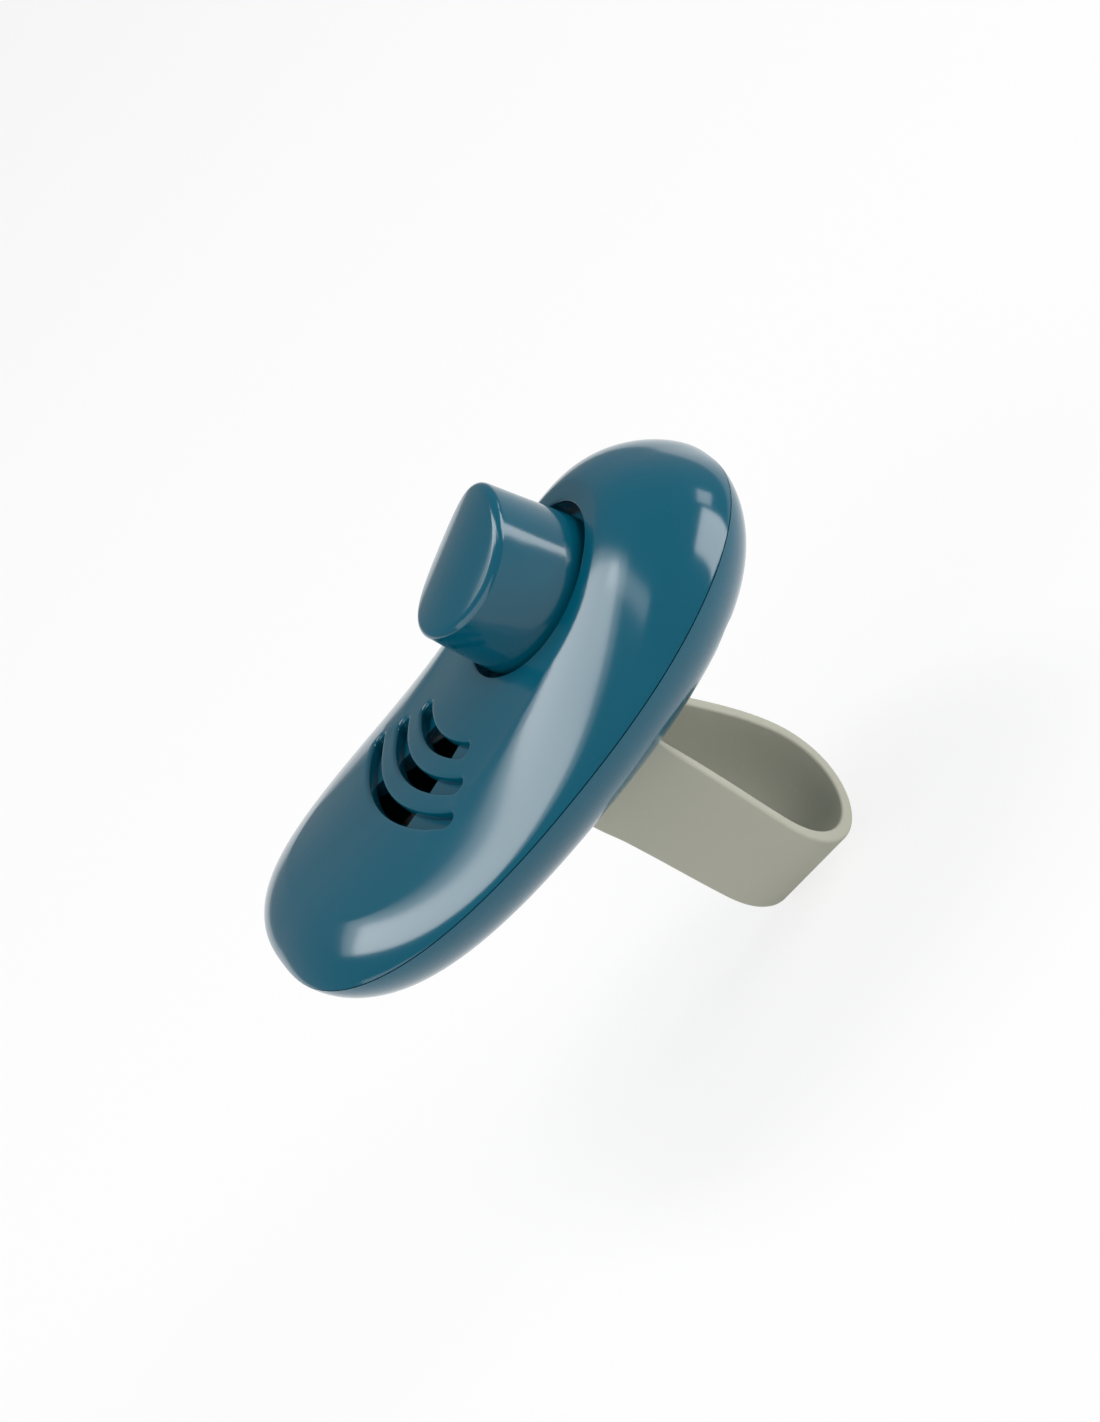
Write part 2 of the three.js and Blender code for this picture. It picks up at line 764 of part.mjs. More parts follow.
// Place in the body of a strap point: upright in the belly, leaning and twisting further down
function strapPoint(across, down, along) {
  const turn = (strapTwist * down) / strapTwistSpan;
  const sweep = strapSweep * (down / strapTwistSpan) ** 2;
  const leaning = new THREE.Vector3(
    along * Math.cos(turn) - across * Math.sin(turn) + sweep,
    along * Math.sin(turn) + across * Math.cos(turn),
    -down,
  );
  const axis = new THREE.Vector3(strapRoll, strapLean, strapYaw);
  const angle = axis.length();
  leaning.applyAxisAngle(axis.normalize(), angle);
  leaning.add(new THREE.Vector3(strapX, 0, strapRootZ));
  const upright = new THREE.Vector3(strapX + along, across, strapRootZ - down);
  const share = THREE.MathUtils.smoothstep(down, 0, strapRootBlend);
  return upright.lerp(leaning, share).toArray();
}

// The band is a loft of rectangles with softened corners, square to the strap line
function strapBand() {
  const line = strapLine();
  const rise = strapHeadZ() - strapRootZ;
  line.unshift([-strapRootY, -rise]);
  line.push([strapRootY, -rise]);
  const corner = strapThickness * 0.22;
  const wide = strapWidth / 2;
  const thick = strapThickness / 2;
  const section = [
    [wide, thick - corner],
    [wide - corner, thick],
    [-wide + corner, thick],
    [-wide, thick - corner],
    [-wide, -thick + corner],
    [-wide + corner, -thick],
    [wide - corner, -thick],
    [wide, -thick + corner],
  ];
  const rings = line.map(([across, down], i) => {
    const before = line[Math.max(i - 1, 0)];
    const after = line[Math.min(i + 1, line.length - 1)];
    const run = Math.hypot(after[0] - before[0], after[1] - before[1]);
    const outwards = [-(after[1] - before[1]) / run, (after[0] - before[0]) / run];
    return section.map(([along, out]) =>
      strapPoint(across + out * outwards[0], down + out * outwards[1], along),
    );
  });
  const centreOf = (points) => points[0].map((_, k) => points.reduce((sum, p) => sum + p[k], 0) / points.length);
  return solid(loft(centreOf(rings[0]), rings, centreOf(rings[rings.length - 1])));
}

function strapHeadZ() {
  return floorZ + fitGap + strapHeadHeight / 2;
}

function strap() {
  const heads = [1, -1].map((side) =>
    box(strapX, side * strapRootY, strapHeadZ(), strapWidth, strapHeadWidth, strapHeadHeight),
  );
  return joined(strapBand(), ...heads);
}

function retainerBottomZ() {
  return strapHeadZ() + strapHeadHeight / 2 + fitGap;
}

function retainerScrewSeatZ() {
  return retainerBottomZ() + retainerThickness + fitGap;
}

// Pressed plate that holds the strap's heads down
function strapRetainer() {
  const outline = roundedRectangle(strapX, 0, retainerLength, retainerWidth, landRadius);
  const plate = upright(outline, retainerThickness, retainerBottomZ());
  const holes = [1, -1].map((side) =>
    post(strapX, side * retainerScrewY, -cutterReach, cutterReach, smallScrewRadius + pinClearance),
  );
  return cut(plate, ...holes);
}

const clicker = new THREE.Group();

function addPart(name, body, material) {
  const mesh = new THREE.Mesh(geometryOf(body), material);
  mesh.name = name;
  clicker.add(mesh);
}

addPart("top_shell", topShell(), tealGloss);
addPart("bottom_shell", bottomShell(), tealGloss);
addPart("button", button(), tealGloss);
addPart("button_pivot_pin", pivotPin(), zincSteel);
addPart("click_plate", clickPlate(), springSteel);
addPart("plate_clamp", plateClamp(), zincSteel);
addPart("strap", strap(), strapGrey);
addPart("strap_retainer", strapRetainer(), zincSteel);
for (const { name, x, y } of shellScrewPlaces()) {
  addPart(`shell_screw_${name}`, screw(x, y, shellScrewSeatZ - fitGap, true, shellScrewSize), zincSteel);
}
for (const [hand, side] of Object.entries({ left: 1, right: -1 })) {
  const clampScrew = screw(plateHingeX, side * clampScrewY, clampScrewSeatZ(), false, clampScrewSize);
  addPart(`clamp_screw_${hand}`, clampScrew, zincSteel);
  const retainerScrew = screw(strapX, side * retainerScrewY, retainerScrewSeatZ(), false, retainerScrewSize);
  addPart(`retainer_screw_${hand}`, retainerScrew, zincSteel);
}

// The part's origin is the middle of the flat land on the belly, between the ends of the strap
clicker.position.set(-strapX, 0, -landZ);

export default clicker;
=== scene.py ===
"""Finger-strap sound clicker, dressed and lit for the studio camera.

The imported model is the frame: two moulded shells, a hinged push button, a spring-steel click plate and a
soft finger strap. Lengths in the classes are millimetres in the moulding frame, whose seam lies near z = 0,
and Placement turns them into metres in the row frame.
"""

import json
import logging
import math
from dataclasses import dataclass, field
from enum import Enum
from typing import Callable, Iterable

import bmesh
import bpy
from mathutils import Matrix, Vector


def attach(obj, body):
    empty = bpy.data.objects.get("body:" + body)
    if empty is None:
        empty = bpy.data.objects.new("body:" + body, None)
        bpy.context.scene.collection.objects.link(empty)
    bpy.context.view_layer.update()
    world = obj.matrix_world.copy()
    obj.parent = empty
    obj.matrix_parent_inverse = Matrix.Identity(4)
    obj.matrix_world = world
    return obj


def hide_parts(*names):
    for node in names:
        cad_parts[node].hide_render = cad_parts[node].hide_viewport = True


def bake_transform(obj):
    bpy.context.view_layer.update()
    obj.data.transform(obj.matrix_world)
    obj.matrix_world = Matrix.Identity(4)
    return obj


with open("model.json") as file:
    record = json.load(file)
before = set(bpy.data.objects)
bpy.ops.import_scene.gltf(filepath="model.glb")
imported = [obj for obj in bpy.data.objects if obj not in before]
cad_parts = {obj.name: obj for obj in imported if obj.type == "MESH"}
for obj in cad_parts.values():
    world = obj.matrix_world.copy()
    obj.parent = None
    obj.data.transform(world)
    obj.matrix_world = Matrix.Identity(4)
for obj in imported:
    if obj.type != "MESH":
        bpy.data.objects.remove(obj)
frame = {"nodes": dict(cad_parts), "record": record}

LOG = logging.getLogger("clicker")
PHOTO_HEIGHT = 1422
FULL_TURN = 2 * math.pi
MM = 0.001

# A ring's rule: the place in metres of its point on a ray, from the ray's number and angle
Ring = Callable[[int, float], Vector]


class Body(Enum):
    """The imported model's bodies."""

    CASE = "case"
    BUTTON = "button"


class Slot(Enum):
    """The record's material slots."""

    TEAL = "teal_plastic"
    RUBBER = "grey_rubber"
    SPRING = "spring_steel"
    ZINC = "zinc_steel"


@dataclass(frozen=True)
class Placement:
    """Turns a place in the moulding frame, in millimetres, into the row frame, in metres."""

    origin_x: float = 2.9
    origin_z: float = -7.5

    def point(self, x: float, y: float, z: float) -> Vector:
        """Give the row-frame place of a moulding-frame point.

        Args:
            x: along the body, towards the button end.
            y: across the body.
            z: up through the button.

        Returns:
            The same place in the row frame, in metres.
        """
        return Vector((x - self.origin_x, y, z - self.origin_z)) * MM


PLACE = Placement()


def smooth_step(low: float, high: float, value: float) -> float:
    """Ease from 0 to 1 as a value goes from low to high."""
    share = min(max((value - low) / (high - low), 0.0), 1.0)
    return share * share * (3 - 2 * share)


def mix(first: float, second: float, share: float) -> float:
    """Blend two numbers."""
    return first + (second - first) * share


def last_true(holds: Callable[[float], bool], low: float, high: float) -> float:
    """Find the value up to which a test holds.

    Args:
        holds: the test, true at low.
        low: where the search starts.
        high: where it ends.

    Returns:
        The border value.
    """
    for _ in range(36):
        middle = (low + high) / 2
        if holds(middle):
            low = middle
        else:
            high = middle
    return low


def on_ray(centre_x: float, angle: float, distance: float) -> tuple[float, float]:
    """Give the point at a distance along a ray from a point of the middle line."""
    return centre_x + distance * math.cos(angle), distance * math.sin(angle)


def arc(centre: tuple[float, float], radius: float, turns: Iterable[float]) -> list[tuple[float, float]]:
    """List an arc's points at the given angles, in radians."""
    return [(centre[0] + radius * math.cos(turn), centre[1] + radius * math.sin(turn)) for turn in turns]


def pick(items: Iterable, kind: type) -> list:
    """List the vertices, edges or faces among what an operator made."""
    return [item for item in items if isinstance(item, kind)]


def next_ring(ring: list, grown: Iterable) -> list:
    """Find the copies of a ring's vertices among what an extrusion made, in the same order."""
    fresh = set(pick(grown, bmesh.types.BMVert))
    return [next(e.other_vert(v) for e in v.link_edges if e.other_vert(v) in fresh) for v in ring]


@dataclass(frozen=True)
class Outline:
    """The pebble's outline from above, and the seam that curls up at both ends."""

    half_length: float = 33.0
    half_width: float = 22.9
    exponent: float = 2.63
    narrowing: float = 0.107
    rise: float = 2.1
    nose_rise: float = 0.37

    def seam(self, x: float) -> float:
        """Give the seam's height at x."""
        along = x / self.half_length
        return self.rise * along**2 + self.nose_rise * along**3

    def is_inside(self, x: float, y: float, inset: float, share: float = 1.0) -> bool:
        """Tell whether a point lies inside the outline moved inwards by an inset, then shrunk by a share."""
        width = (self.half_width - inset) * (1 - self.narrowing * x / self.half_length) * share
        length = (self.half_length - inset) * share
        return (abs(x) / length) ** self.exponent + (abs(y) / width) ** self.exponent < 1

    def reach(self, centre_x: float, angle: float, inset: float) -> float:
        """Give the distance from a point of the middle line to the inset outline, in one direction."""
        cos, sin = math.cos(angle), math.sin(angle)
        return last_true(lambda r: self.is_inside(centre_x + r * cos, r * sin, inset), 0.0, 70.0)


OUTLINE = Outline()


@dataclass(frozen=True)
class ShellForm:
    """Outer surface of one shell: its height over the seam and the shoulder that rounds down to it."""

    side: int
    heights: tuple[float, ...]
    shoulders: tuple[float, float]
    exponent: float
    crown: float

    @staticmethod
    def _through(values: tuple[float, ...], along: float) -> float:
        """Give the polynomial through evenly spaced stations from the tail (-1) to the nose (+1)."""
        step = 2 / (len(values) - 1)
        total = 0.0
        for i, value in enumerate(values):
            for j in range(len(values)):
                if j != i:
                    value *= (along + 1 - j * step) / ((i - j) * step)
            total += value
        return total

    def height(self, x: float) -> float:
        """Give the height over the seam inside the shoulder."""
        return self._through(self.heights, x / OUTLINE.half_length)

    def shoulder(self, x: float) -> float:
        """Give the shoulder's width at x."""
        return self._through(self.shoulders, x / OUTLINE.half_length)

    def surface(self, x: float, y: float, wall: float = 0.0) -> float:
        """Give the surface's height in the moulding frame.

        Args:
            x: along the body.
            y: across the body.
            wall: how far the surface lies inside the outer one.

        Returns:
            The height of the surface there.
        """
        shoulder = self.shoulder(x)
        if OUTLINE.is_inside(x, y, shoulder):
            share = last_true(lambda s: not OUTLINE.is_inside(x, y, shoulder, s), 0.001, 1.0)
            # The crown eases in from the shoulder, so that no crease shows where they meet
            crown = self.crown * (1 - share**2) ** 1.5
            return OUTLINE.seam(x) + self.side * (self.height(x) - wall + crown)
        inset = last_true(lambda d: OUTLINE.is_inside(x, y, d), wall, shoulder)
        return self.shoulder_height(x, inset, wall)

    def shoulder_height(self, x: float, inset: float, wall: float = 0.0) -> float:
        """Give the surface's height at an inset from the outline, within the shoulder."""
        left = 1 - min((inset - wall) / (self.shoulder(x) - wall), 1.0)
        rise = (1 - left**self.exponent) ** (1 / self.exponent)
        return OUTLINE.seam(x) + self.side * (self.height(x) - wall) * rise

    def edge_turn(self, x: float, gap: float) -> float:
        """Give the shoulder's angle at which the surface is a small gap away from the seam."""
        return math.asin((gap / self.height(x)) ** (self.exponent / 2))

    def turned_inset(self, x: float, turn: float) -> float:
        """Give the inset of the shoulder's point at an angle, from the seam (0) to the plateau."""
        return self.shoulder(x) * (1 - math.cos(turn) ** (2 / self.exponent))


TOP_FORM = ShellForm(
    side=1, heights=(7.0, 3.9, 7.04, 11.4), shoulders=(11.2, 10.2), exponent=1.32, crown=0.83,
)
BELLY_FORM = ShellForm(
    side=-1, heights=(7.2, 6.7, 7.8), shoulders=(7.4, 8.7), exponent=1.66, crown=0.47,
)


def finish_mesh(name: str, form: bmesh.types.BMesh, smooth_angle: float = 32.0) -> bpy.types.Object:
    """Make an object of a bmesh, with soft shading up to an angle.

    Args:
        name: the piece's name.
        form: the shape, in the row frame, in metres. It is freed here.
        smooth_angle: the angle in degrees up to which an edge is shaded softly.

    Returns:
        The new object, linked to the scene.
    """
    bmesh.ops.remove_doubles(form, verts=form.verts[:], dist=2e-6)
    bmesh.ops.recalc_face_normals(form, faces=form.faces[:])
    mesh = bpy.data.meshes.new(name)
    form.to_mesh(mesh)
    form.free()
    mesh.shade_smooth()
    mesh.set_sharp_from_angle(angle=math.radians(smooth_angle))
    piece = bpy.data.objects.new(name, mesh)
    bpy.context.scene.collection.objects.link(piece)
    return piece


def apply_modifiers(piece: bpy.types.Object) -> None:
    """Bake a piece's modifiers into its mesh."""
    graph = bpy.context.evaluated_depsgraph_get()
    baked = bpy.data.meshes.new_from_object(piece.evaluated_get(graph))
    piece.modifiers.clear()
    old = piece.data
    piece.data = baked
    bpy.data.meshes.remove(old)


def apply_cuts(piece: bpy.types.Object, cutters: Iterable[bpy.types.Object], operation: str) -> None:
    """Join cutters to a piece or cut them from it, then delete them.

    Args:
        piece: the piece that is shaped.
        cutters: closed objects.
        operation: UNION or DIFFERENCE.
    """
    for cutter in cutters:
        modifier = piece.modifiers.new("cut", "BOOLEAN")
        modifier.operation = operation
        modifier.solver = "EXACT"
        modifier.object = cutter
        apply_modifiers(piece)
        bpy.data.objects.remove(cutter, do_unlink=True)


def cylinder(name: str, centre: Vector, radius: float, depth: float, steps: int = 48) -> bpy.types.Object:
    """Make a closed cylinder along Z, in metres, as a cutter or a boss."""
    form = bmesh.new()
    bmesh.ops.create_cone(
        form, cap_ends=True, segments=steps, radius1=radius, radius2=radius, depth=depth,
        matrix=Matrix.Translation(centre),
    )
    return finish_mesh(name, form)


@dataclass(frozen=True)
class RayGrid:
    """Rings of vertices on rays from one point of the middle line, joined by extrusion."""

    angles: tuple[float, ...]

    def build(self, rings: list[Ring]) -> bmesh.types.BMesh:
        """Extrude one ring of edges through a list of stations.

        Args:
            rings: the rule of each ring.

        Returns:
            A bmesh whose vertices lie ring by ring, each in the order of the rays.
        """
        form = bmesh.new()
        bmesh.ops.create_circle(form, segments=len(self.angles), radius=1.0)
        form.verts.ensure_lookup_table()
        ring = list(form.verts)
        edges = list(form.edges)
        for number, place in enumerate(rings):
            if number > 0:
                grown = bmesh.ops.extrude_edge_only(form, edges=edges)["geom"]
                ring = next_ring(ring, grown)
                fresh = set(ring)
                edges = [e for e in pick(grown, bmesh.types.BMEdge) if set(e.verts) <= fresh]
            for i, vert in enumerate(ring):
                vert.co = place(i, self.angles[i])
        form.verts.ensure_lookup_table()
        form.faces.ensure_lookup_table()
        return form


@dataclass
class TopShell:
    """Upper moulding with the button's well and three arc sound slots."""

    slot_centre_x: float = 10.24
    slot_radii: tuple[float, ...] = (16.37, 20.37, 24.37)
    slot_half_width: float = 0.88
    slot_half_angles: tuple[float, ...] = (27.1, 31.1, 33.1)
    slot_lean: float = 0.6
    open_near: float = 11.0
    open_far: float = 18.0
    slot_floor: float = 0.9
    slot_rim: float = 0.4
    rim_stations: tuple[float, ...] = (0.75, 0.4, 0.24, 0.12, 0.04, 0.0)
    well_x: float = 11.27
    well_z: float = 8.0
    well_radius: float = 9.6
    well_tilt: float = math.radians(15)
    well_rim: float = 0.25
    well_wall: float = 3.2
    wall: float = 1.8
    seam_gap: float = 0.06
    fine_sector: float = 36.0
    tip_sector: tuple[float, float] = (22.5, 34.5)
    tip_gap: float = 0.07
    tip_spread: float = 0.3
    tip_opening: tuple[float, float] = (2.0, 5.0)
    ray_step: float = 0.5
    tip_step: float = 0.2
    angle_slack: float = 0.01
    plateau_rings: tuple[float, ...] = (11.6, 13.4)
    even_span: tuple[float, float] = (9.4, 28.0)
    squeeze: float = 0.93
    even_from: float = 80.0
    well_search: tuple[float, float] = (2.0, 16.0)
    rim_steps: int = 4
    shoulder_start: float = 6.0
    shoulder_rings: int = 16
    smooth_angle: float = 40.0

    @property
    def well_axis(self) -> Vector:
        """The well's direction, upwards."""
        return Vector((-math.sin(self.well_tilt), 0, math.cos(self.well_tilt)))

    def ray_angles(self) -> tuple[float, ...]:
        """Give the rays' directions, densest over the slots' tips and a degree apart away from the slots."""
        low, high = self.tip_sector
        side = [self.ray_step * i for i in range(1, round(low / self.ray_step))]
        side += [low + self.tip_step * i for i in range(round((high - low) / self.tip_step))]
        side += [high + self.ray_step * i for i in range(round((self.fine_sector - high) / self.ray_step))]
        rest = [self.fine_sector + i for i in range(round(360 - 2 * self.fine_sector))]
        return tuple(math.radians(180 + a) for a in [-a for a in reversed(side)] + [0.0] + side + rest)

    def _off_axis(self, angle: float, lean: float = 0.0) -> float:
        """Give a ray's angle from the tail direction, or from a line that leans from it, in degrees."""
        return abs((math.degrees(angle) % 360) - 180 + lean)

    def well_edge(self, angle: float) -> float:
        """Give the distance along a ray to the well's wall on the surface."""
        axis = self.well_axis
        on_axis = Vector((self.well_x, 0, self.well_z))

        def inside(distance: float) -> bool:
            x, y = on_ray(self.slot_centre_x, angle, distance)
            offset = Vector((x, y, TOP_FORM.surface(x, y))) - on_axis
            return (offset - axis * offset.dot(axis)).length < self.well_radius

        return last_true(inside, *self.well_search)

    def ring_offset(self, number: int, off: float, distance: float) -> float:
        """Give how far a ring beside a slot lies from the slot's middle line on a ray.

        Args:
            number: which slot, from the button outwards.
            off: the ray's angle from the slots' middle, in degrees.
            distance: the ring's distance from the slot's edge.

        Returns:
            The distance across, which closes round the slot's tip and opens again after it.
        """
        radius = self.slot_radii[number]
        reach = math.radians(self.slot_half_angles[number]) * radius - self.slot_half_width
        beyond = math.radians(off) * radius - reach
        full = self.slot_half_width + distance
        if beyond <= 0:
            return full
        round_tip = math.sqrt(max(full**2 - beyond**2, 0.0))
        closed = max(round_tip, self.tip_gap + self.tip_spread * distance)
        return mix(closed, full, smooth_step(*self.tip_opening, beyond))

    def rim_drop(self, x: float, y: float) -> float:
        """Give how far the surface rounds down beside the nearest slot."""
        dx, dy = x - self.slot_centre_x, y
        radius = math.hypot(dx, dy)
        off = self._off_axis(math.atan2(dy, dx), self.slot_lean)
        drop = 0.0
        for number, middle in enumerate(self.slot_radii):
            reach = math.radians(self.slot_half_angles[number]) - self.slot_half_width / middle
            beyond = max(math.radians(off) - reach, 0.0) * middle
            away = math.hypot(radius - middle, beyond) - self.slot_half_width
            if away < self.slot_rim:
                lean = self.slot_rim - max(away, 0.0)
                drop = max(drop, self.slot_rim - math.sqrt(max(self.slot_rim**2 - lean**2, 0.0)))
        return drop

    def build(self) -> bpy.types.Object:
        """Shape the shell.

        Returns:
            The upper moulding's object.
        """
        angles = self.ray_angles()
        well = [self.well_edge(a) for a in angles]
        end = [OUTLINE.reach(self.slot_centre_x, a, self.shoulder_start) for a in angles]
        rings = [
            self._well_ring(well, 0.0, depth)
            for depth in (self.well_wall, (self.well_wall + self.well_rim) / 2)
        ]
        for step in range(self.rim_steps + 1):
            turn = step / self.rim_steps * math.pi / 2
            out, sink = self.well_rim * (1 - math.cos(turn)), self.well_rim * (1 - math.sin(turn))
            rings.append(self._well_ring(well, out, sink))
        slot_edges = self._slot_ring_numbers(first=len(rings))
        rings += [self._surface_ring(self._radius_rule(s, well, end)) for s in self._ring_stations()]
        rings += [self._shoulder_ring(step / self.shoulder_rings) for step in range(self.shoulder_rings + 1)]
        form = RayGrid(angles).build(rings)
        self._sink_slots(form, angles, slot_edges)
        shell = finish_mesh("upper_shell", form, self.smooth_angle)
        thicken = shell.modifiers.new("wall", "SOLIDIFY")
        thicken.thickness = self.wall * MM
        thicken.offset = -1
        apply_modifiers(shell)
        shell.data.set_sharp_from_angle(angle=math.radians(self.smooth_angle))
        return shell

    def _well_ring(self, well: list[float], out: float, sink: float) -> Ring:
        """Give a ring of the well's wall or its rounded rim.

        Args:
            well: each ray's distance to the well's wall.
            out: how far the ring lies outside that wall.
            sink: how far it lies below the surface, down the well.

        Returns:
            The ring's rule.
        """

        def place(i: int, angle: float) -> Vector:
            x, y = on_ray(self.slot_centre_x, angle, well[i] + out)
            point = Vector((x, y, TOP_FORM.surface(x, y))) - self.well_axis * sink
            return PLACE.point(*point)

        return place

    def _surface_ring(self, radius_of: Callable[[int, float], float]) -> Ring:
        """Give a ring on the surface, at each ray's own radius."""

        def place(i: int, angle: float) -> Vector:
            x, y = on_ray(self.slot_centre_x, angle, radius_of(i, angle))
            return PLACE.point(x, y, TOP_FORM.surface(x, y) - self.rim_drop(x, y))

        return place

    def _ring_stations(self) -> list[tuple[int, float, float]]:
        """List the rings between well and shoulder.

        Returns:
            Each ring's slot number, side of the slot's middle and distance from its edge. A ring away from
            the slots has the number -1 and its radius in place of the side.
        """
        stations = [(-1, radius, 0.0) for radius in self.plateau_rings]
        for number in range(len(self.slot_radii)):
            stations += [(number, -1.0, distance) for distance in self.rim_stations]
            stations.append((number, 0.0, 0.0))
            stations += [(number, 1.0, distance) for distance in reversed(self.rim_stations)]
        return stations

    def _radius_rule(
        self, station: tuple[int, float, float], well: list[float], end: list[float]
    ) -> Callable[[int, float], float]:
        """Give a ring's radius: arcs over the slots, and even shares of the way to the rim elsewhere.

        Args:
            station: the ring's slot number, side and distance, as the stations list them.
            well: each ray's distance to the well's wall.
            end: each ray's distance to the shoulder.

        Returns:
            The rule that gives the radius from a ray's number and angle.
        """
        number, side, distance = station
        slot_edge = self.slot_half_width + distance
        nominal = side if number < 0 else self.slot_radii[number] + side * slot_edge
        inner_edge, outer_edge = self.even_span
        last_ring = self.slot_radii[-1] + self.slot_half_width + self.rim_stations[0]

        def rule(i: int, angle: float) -> float:
            off = self._off_axis(angle)
            start = well[i] + self.well_rim
            share = (nominal - inner_edge) / (outer_edge - inner_edge)
            even = mix(start, end[i], share)
            if number < 0:
                curved = nominal if off < 90 else even
            else:
                lean_off = self._off_axis(angle, self.slot_lean)
                curved = self.slot_radii[number] + side * self.ring_offset(number, lean_off, distance)
            room = min(self.squeeze * (end[i] - start) / (last_ring - start), 1.0)
            squeezed = start + (curved - start) * room
            return mix(squeezed, even, smooth_step(self.fine_sector, self.even_from, off))

        return rule

    def _shoulder_ring(self, share: float) -> Ring:
        """Give a ring of the shoulder, from its start (0) down to the seam (1)."""

        def place(i: int, angle: float) -> Vector:
            rim_x = self.slot_centre_x + OUTLINE.reach(self.slot_centre_x, angle, 0) * math.cos(angle)
            width = TOP_FORM.shoulder(rim_x)
            first = math.acos((1 - self.shoulder_start / width) ** (TOP_FORM.exponent / 2))
            turn = mix(first, TOP_FORM.edge_turn(rim_x, self.seam_gap), share)
            inset = TOP_FORM.turned_inset(rim_x, turn)
            radius = OUTLINE.reach(self.slot_centre_x, angle, inset)
            x, y = on_ray(self.slot_centre_x, angle, radius)
            return PLACE.point(x, y, TOP_FORM.shoulder_height(x, inset) - self.rim_drop(x, y))

        return place

    def _slot_ring_numbers(self, first: int) -> list[tuple[int, int]]:
        """Give the numbers of each slot's two edge rings, where the stations start at the first number."""
        steps = len(self.rim_stations)
        first += len(self.plateau_rings)
        starts = [first + (2 * steps + 1) * number for number in range(len(self.slot_radii))]
        return [(start + steps - 1, start + steps + 1) for start in starts]

    def _sink_slots(
        self, form: bmesh.types.BMesh, angles: tuple[float, ...], slot_edges: list[tuple[int, int]]
    ) -> None:
        """Press the slots into the surface, and open their middle parts.

        Args:
            form: the surface, ring by ring.
            angles: the rays' directions.
            slot_edges: the numbers of each slot's two edge rings.
        """
        count = len(angles)
        form.verts.index_update()
        pressed = []
        for half_angle, (low, high) in zip(self.slot_half_angles, slot_edges):
            limit = half_angle + self.angle_slack
            for face in form.faces:
                rings = [v.index // count for v in face.verts]
                if min(rings) < low or max(rings) > high:
                    continue
                if all(self._off_axis(angles[v.index % count], self.slot_lean) <= limit for v in face.verts):
                    pressed.append(face)
        centre = PLACE.point(self.slot_centre_x, 0, 0)
        grown = bmesh.ops.extrude_face_region(form, geom=pressed)["geom"]
        bmesh.ops.delete(form, geom=pressed, context="FACES")
        sunk = pick(grown, bmesh.types.BMVert)
        bmesh.ops.translate(form, verts=sunk, vec=Vector((0, 0, -self.slot_floor * MM)))
        opened = []
        for face in pick(grown, bmesh.types.BMFace):
            offs = [self._off_axis(math.atan2(v.co.y, v.co.x - centre.x)) for v in face.verts]
            limit = self.open_near if face.calc_center_median().y < 0 else self.open_far
            if max(offs) <= limit + self.angle_slack:
                opened.append(face)
        bmesh.ops.delete(form, geom=opened, context="FACES")


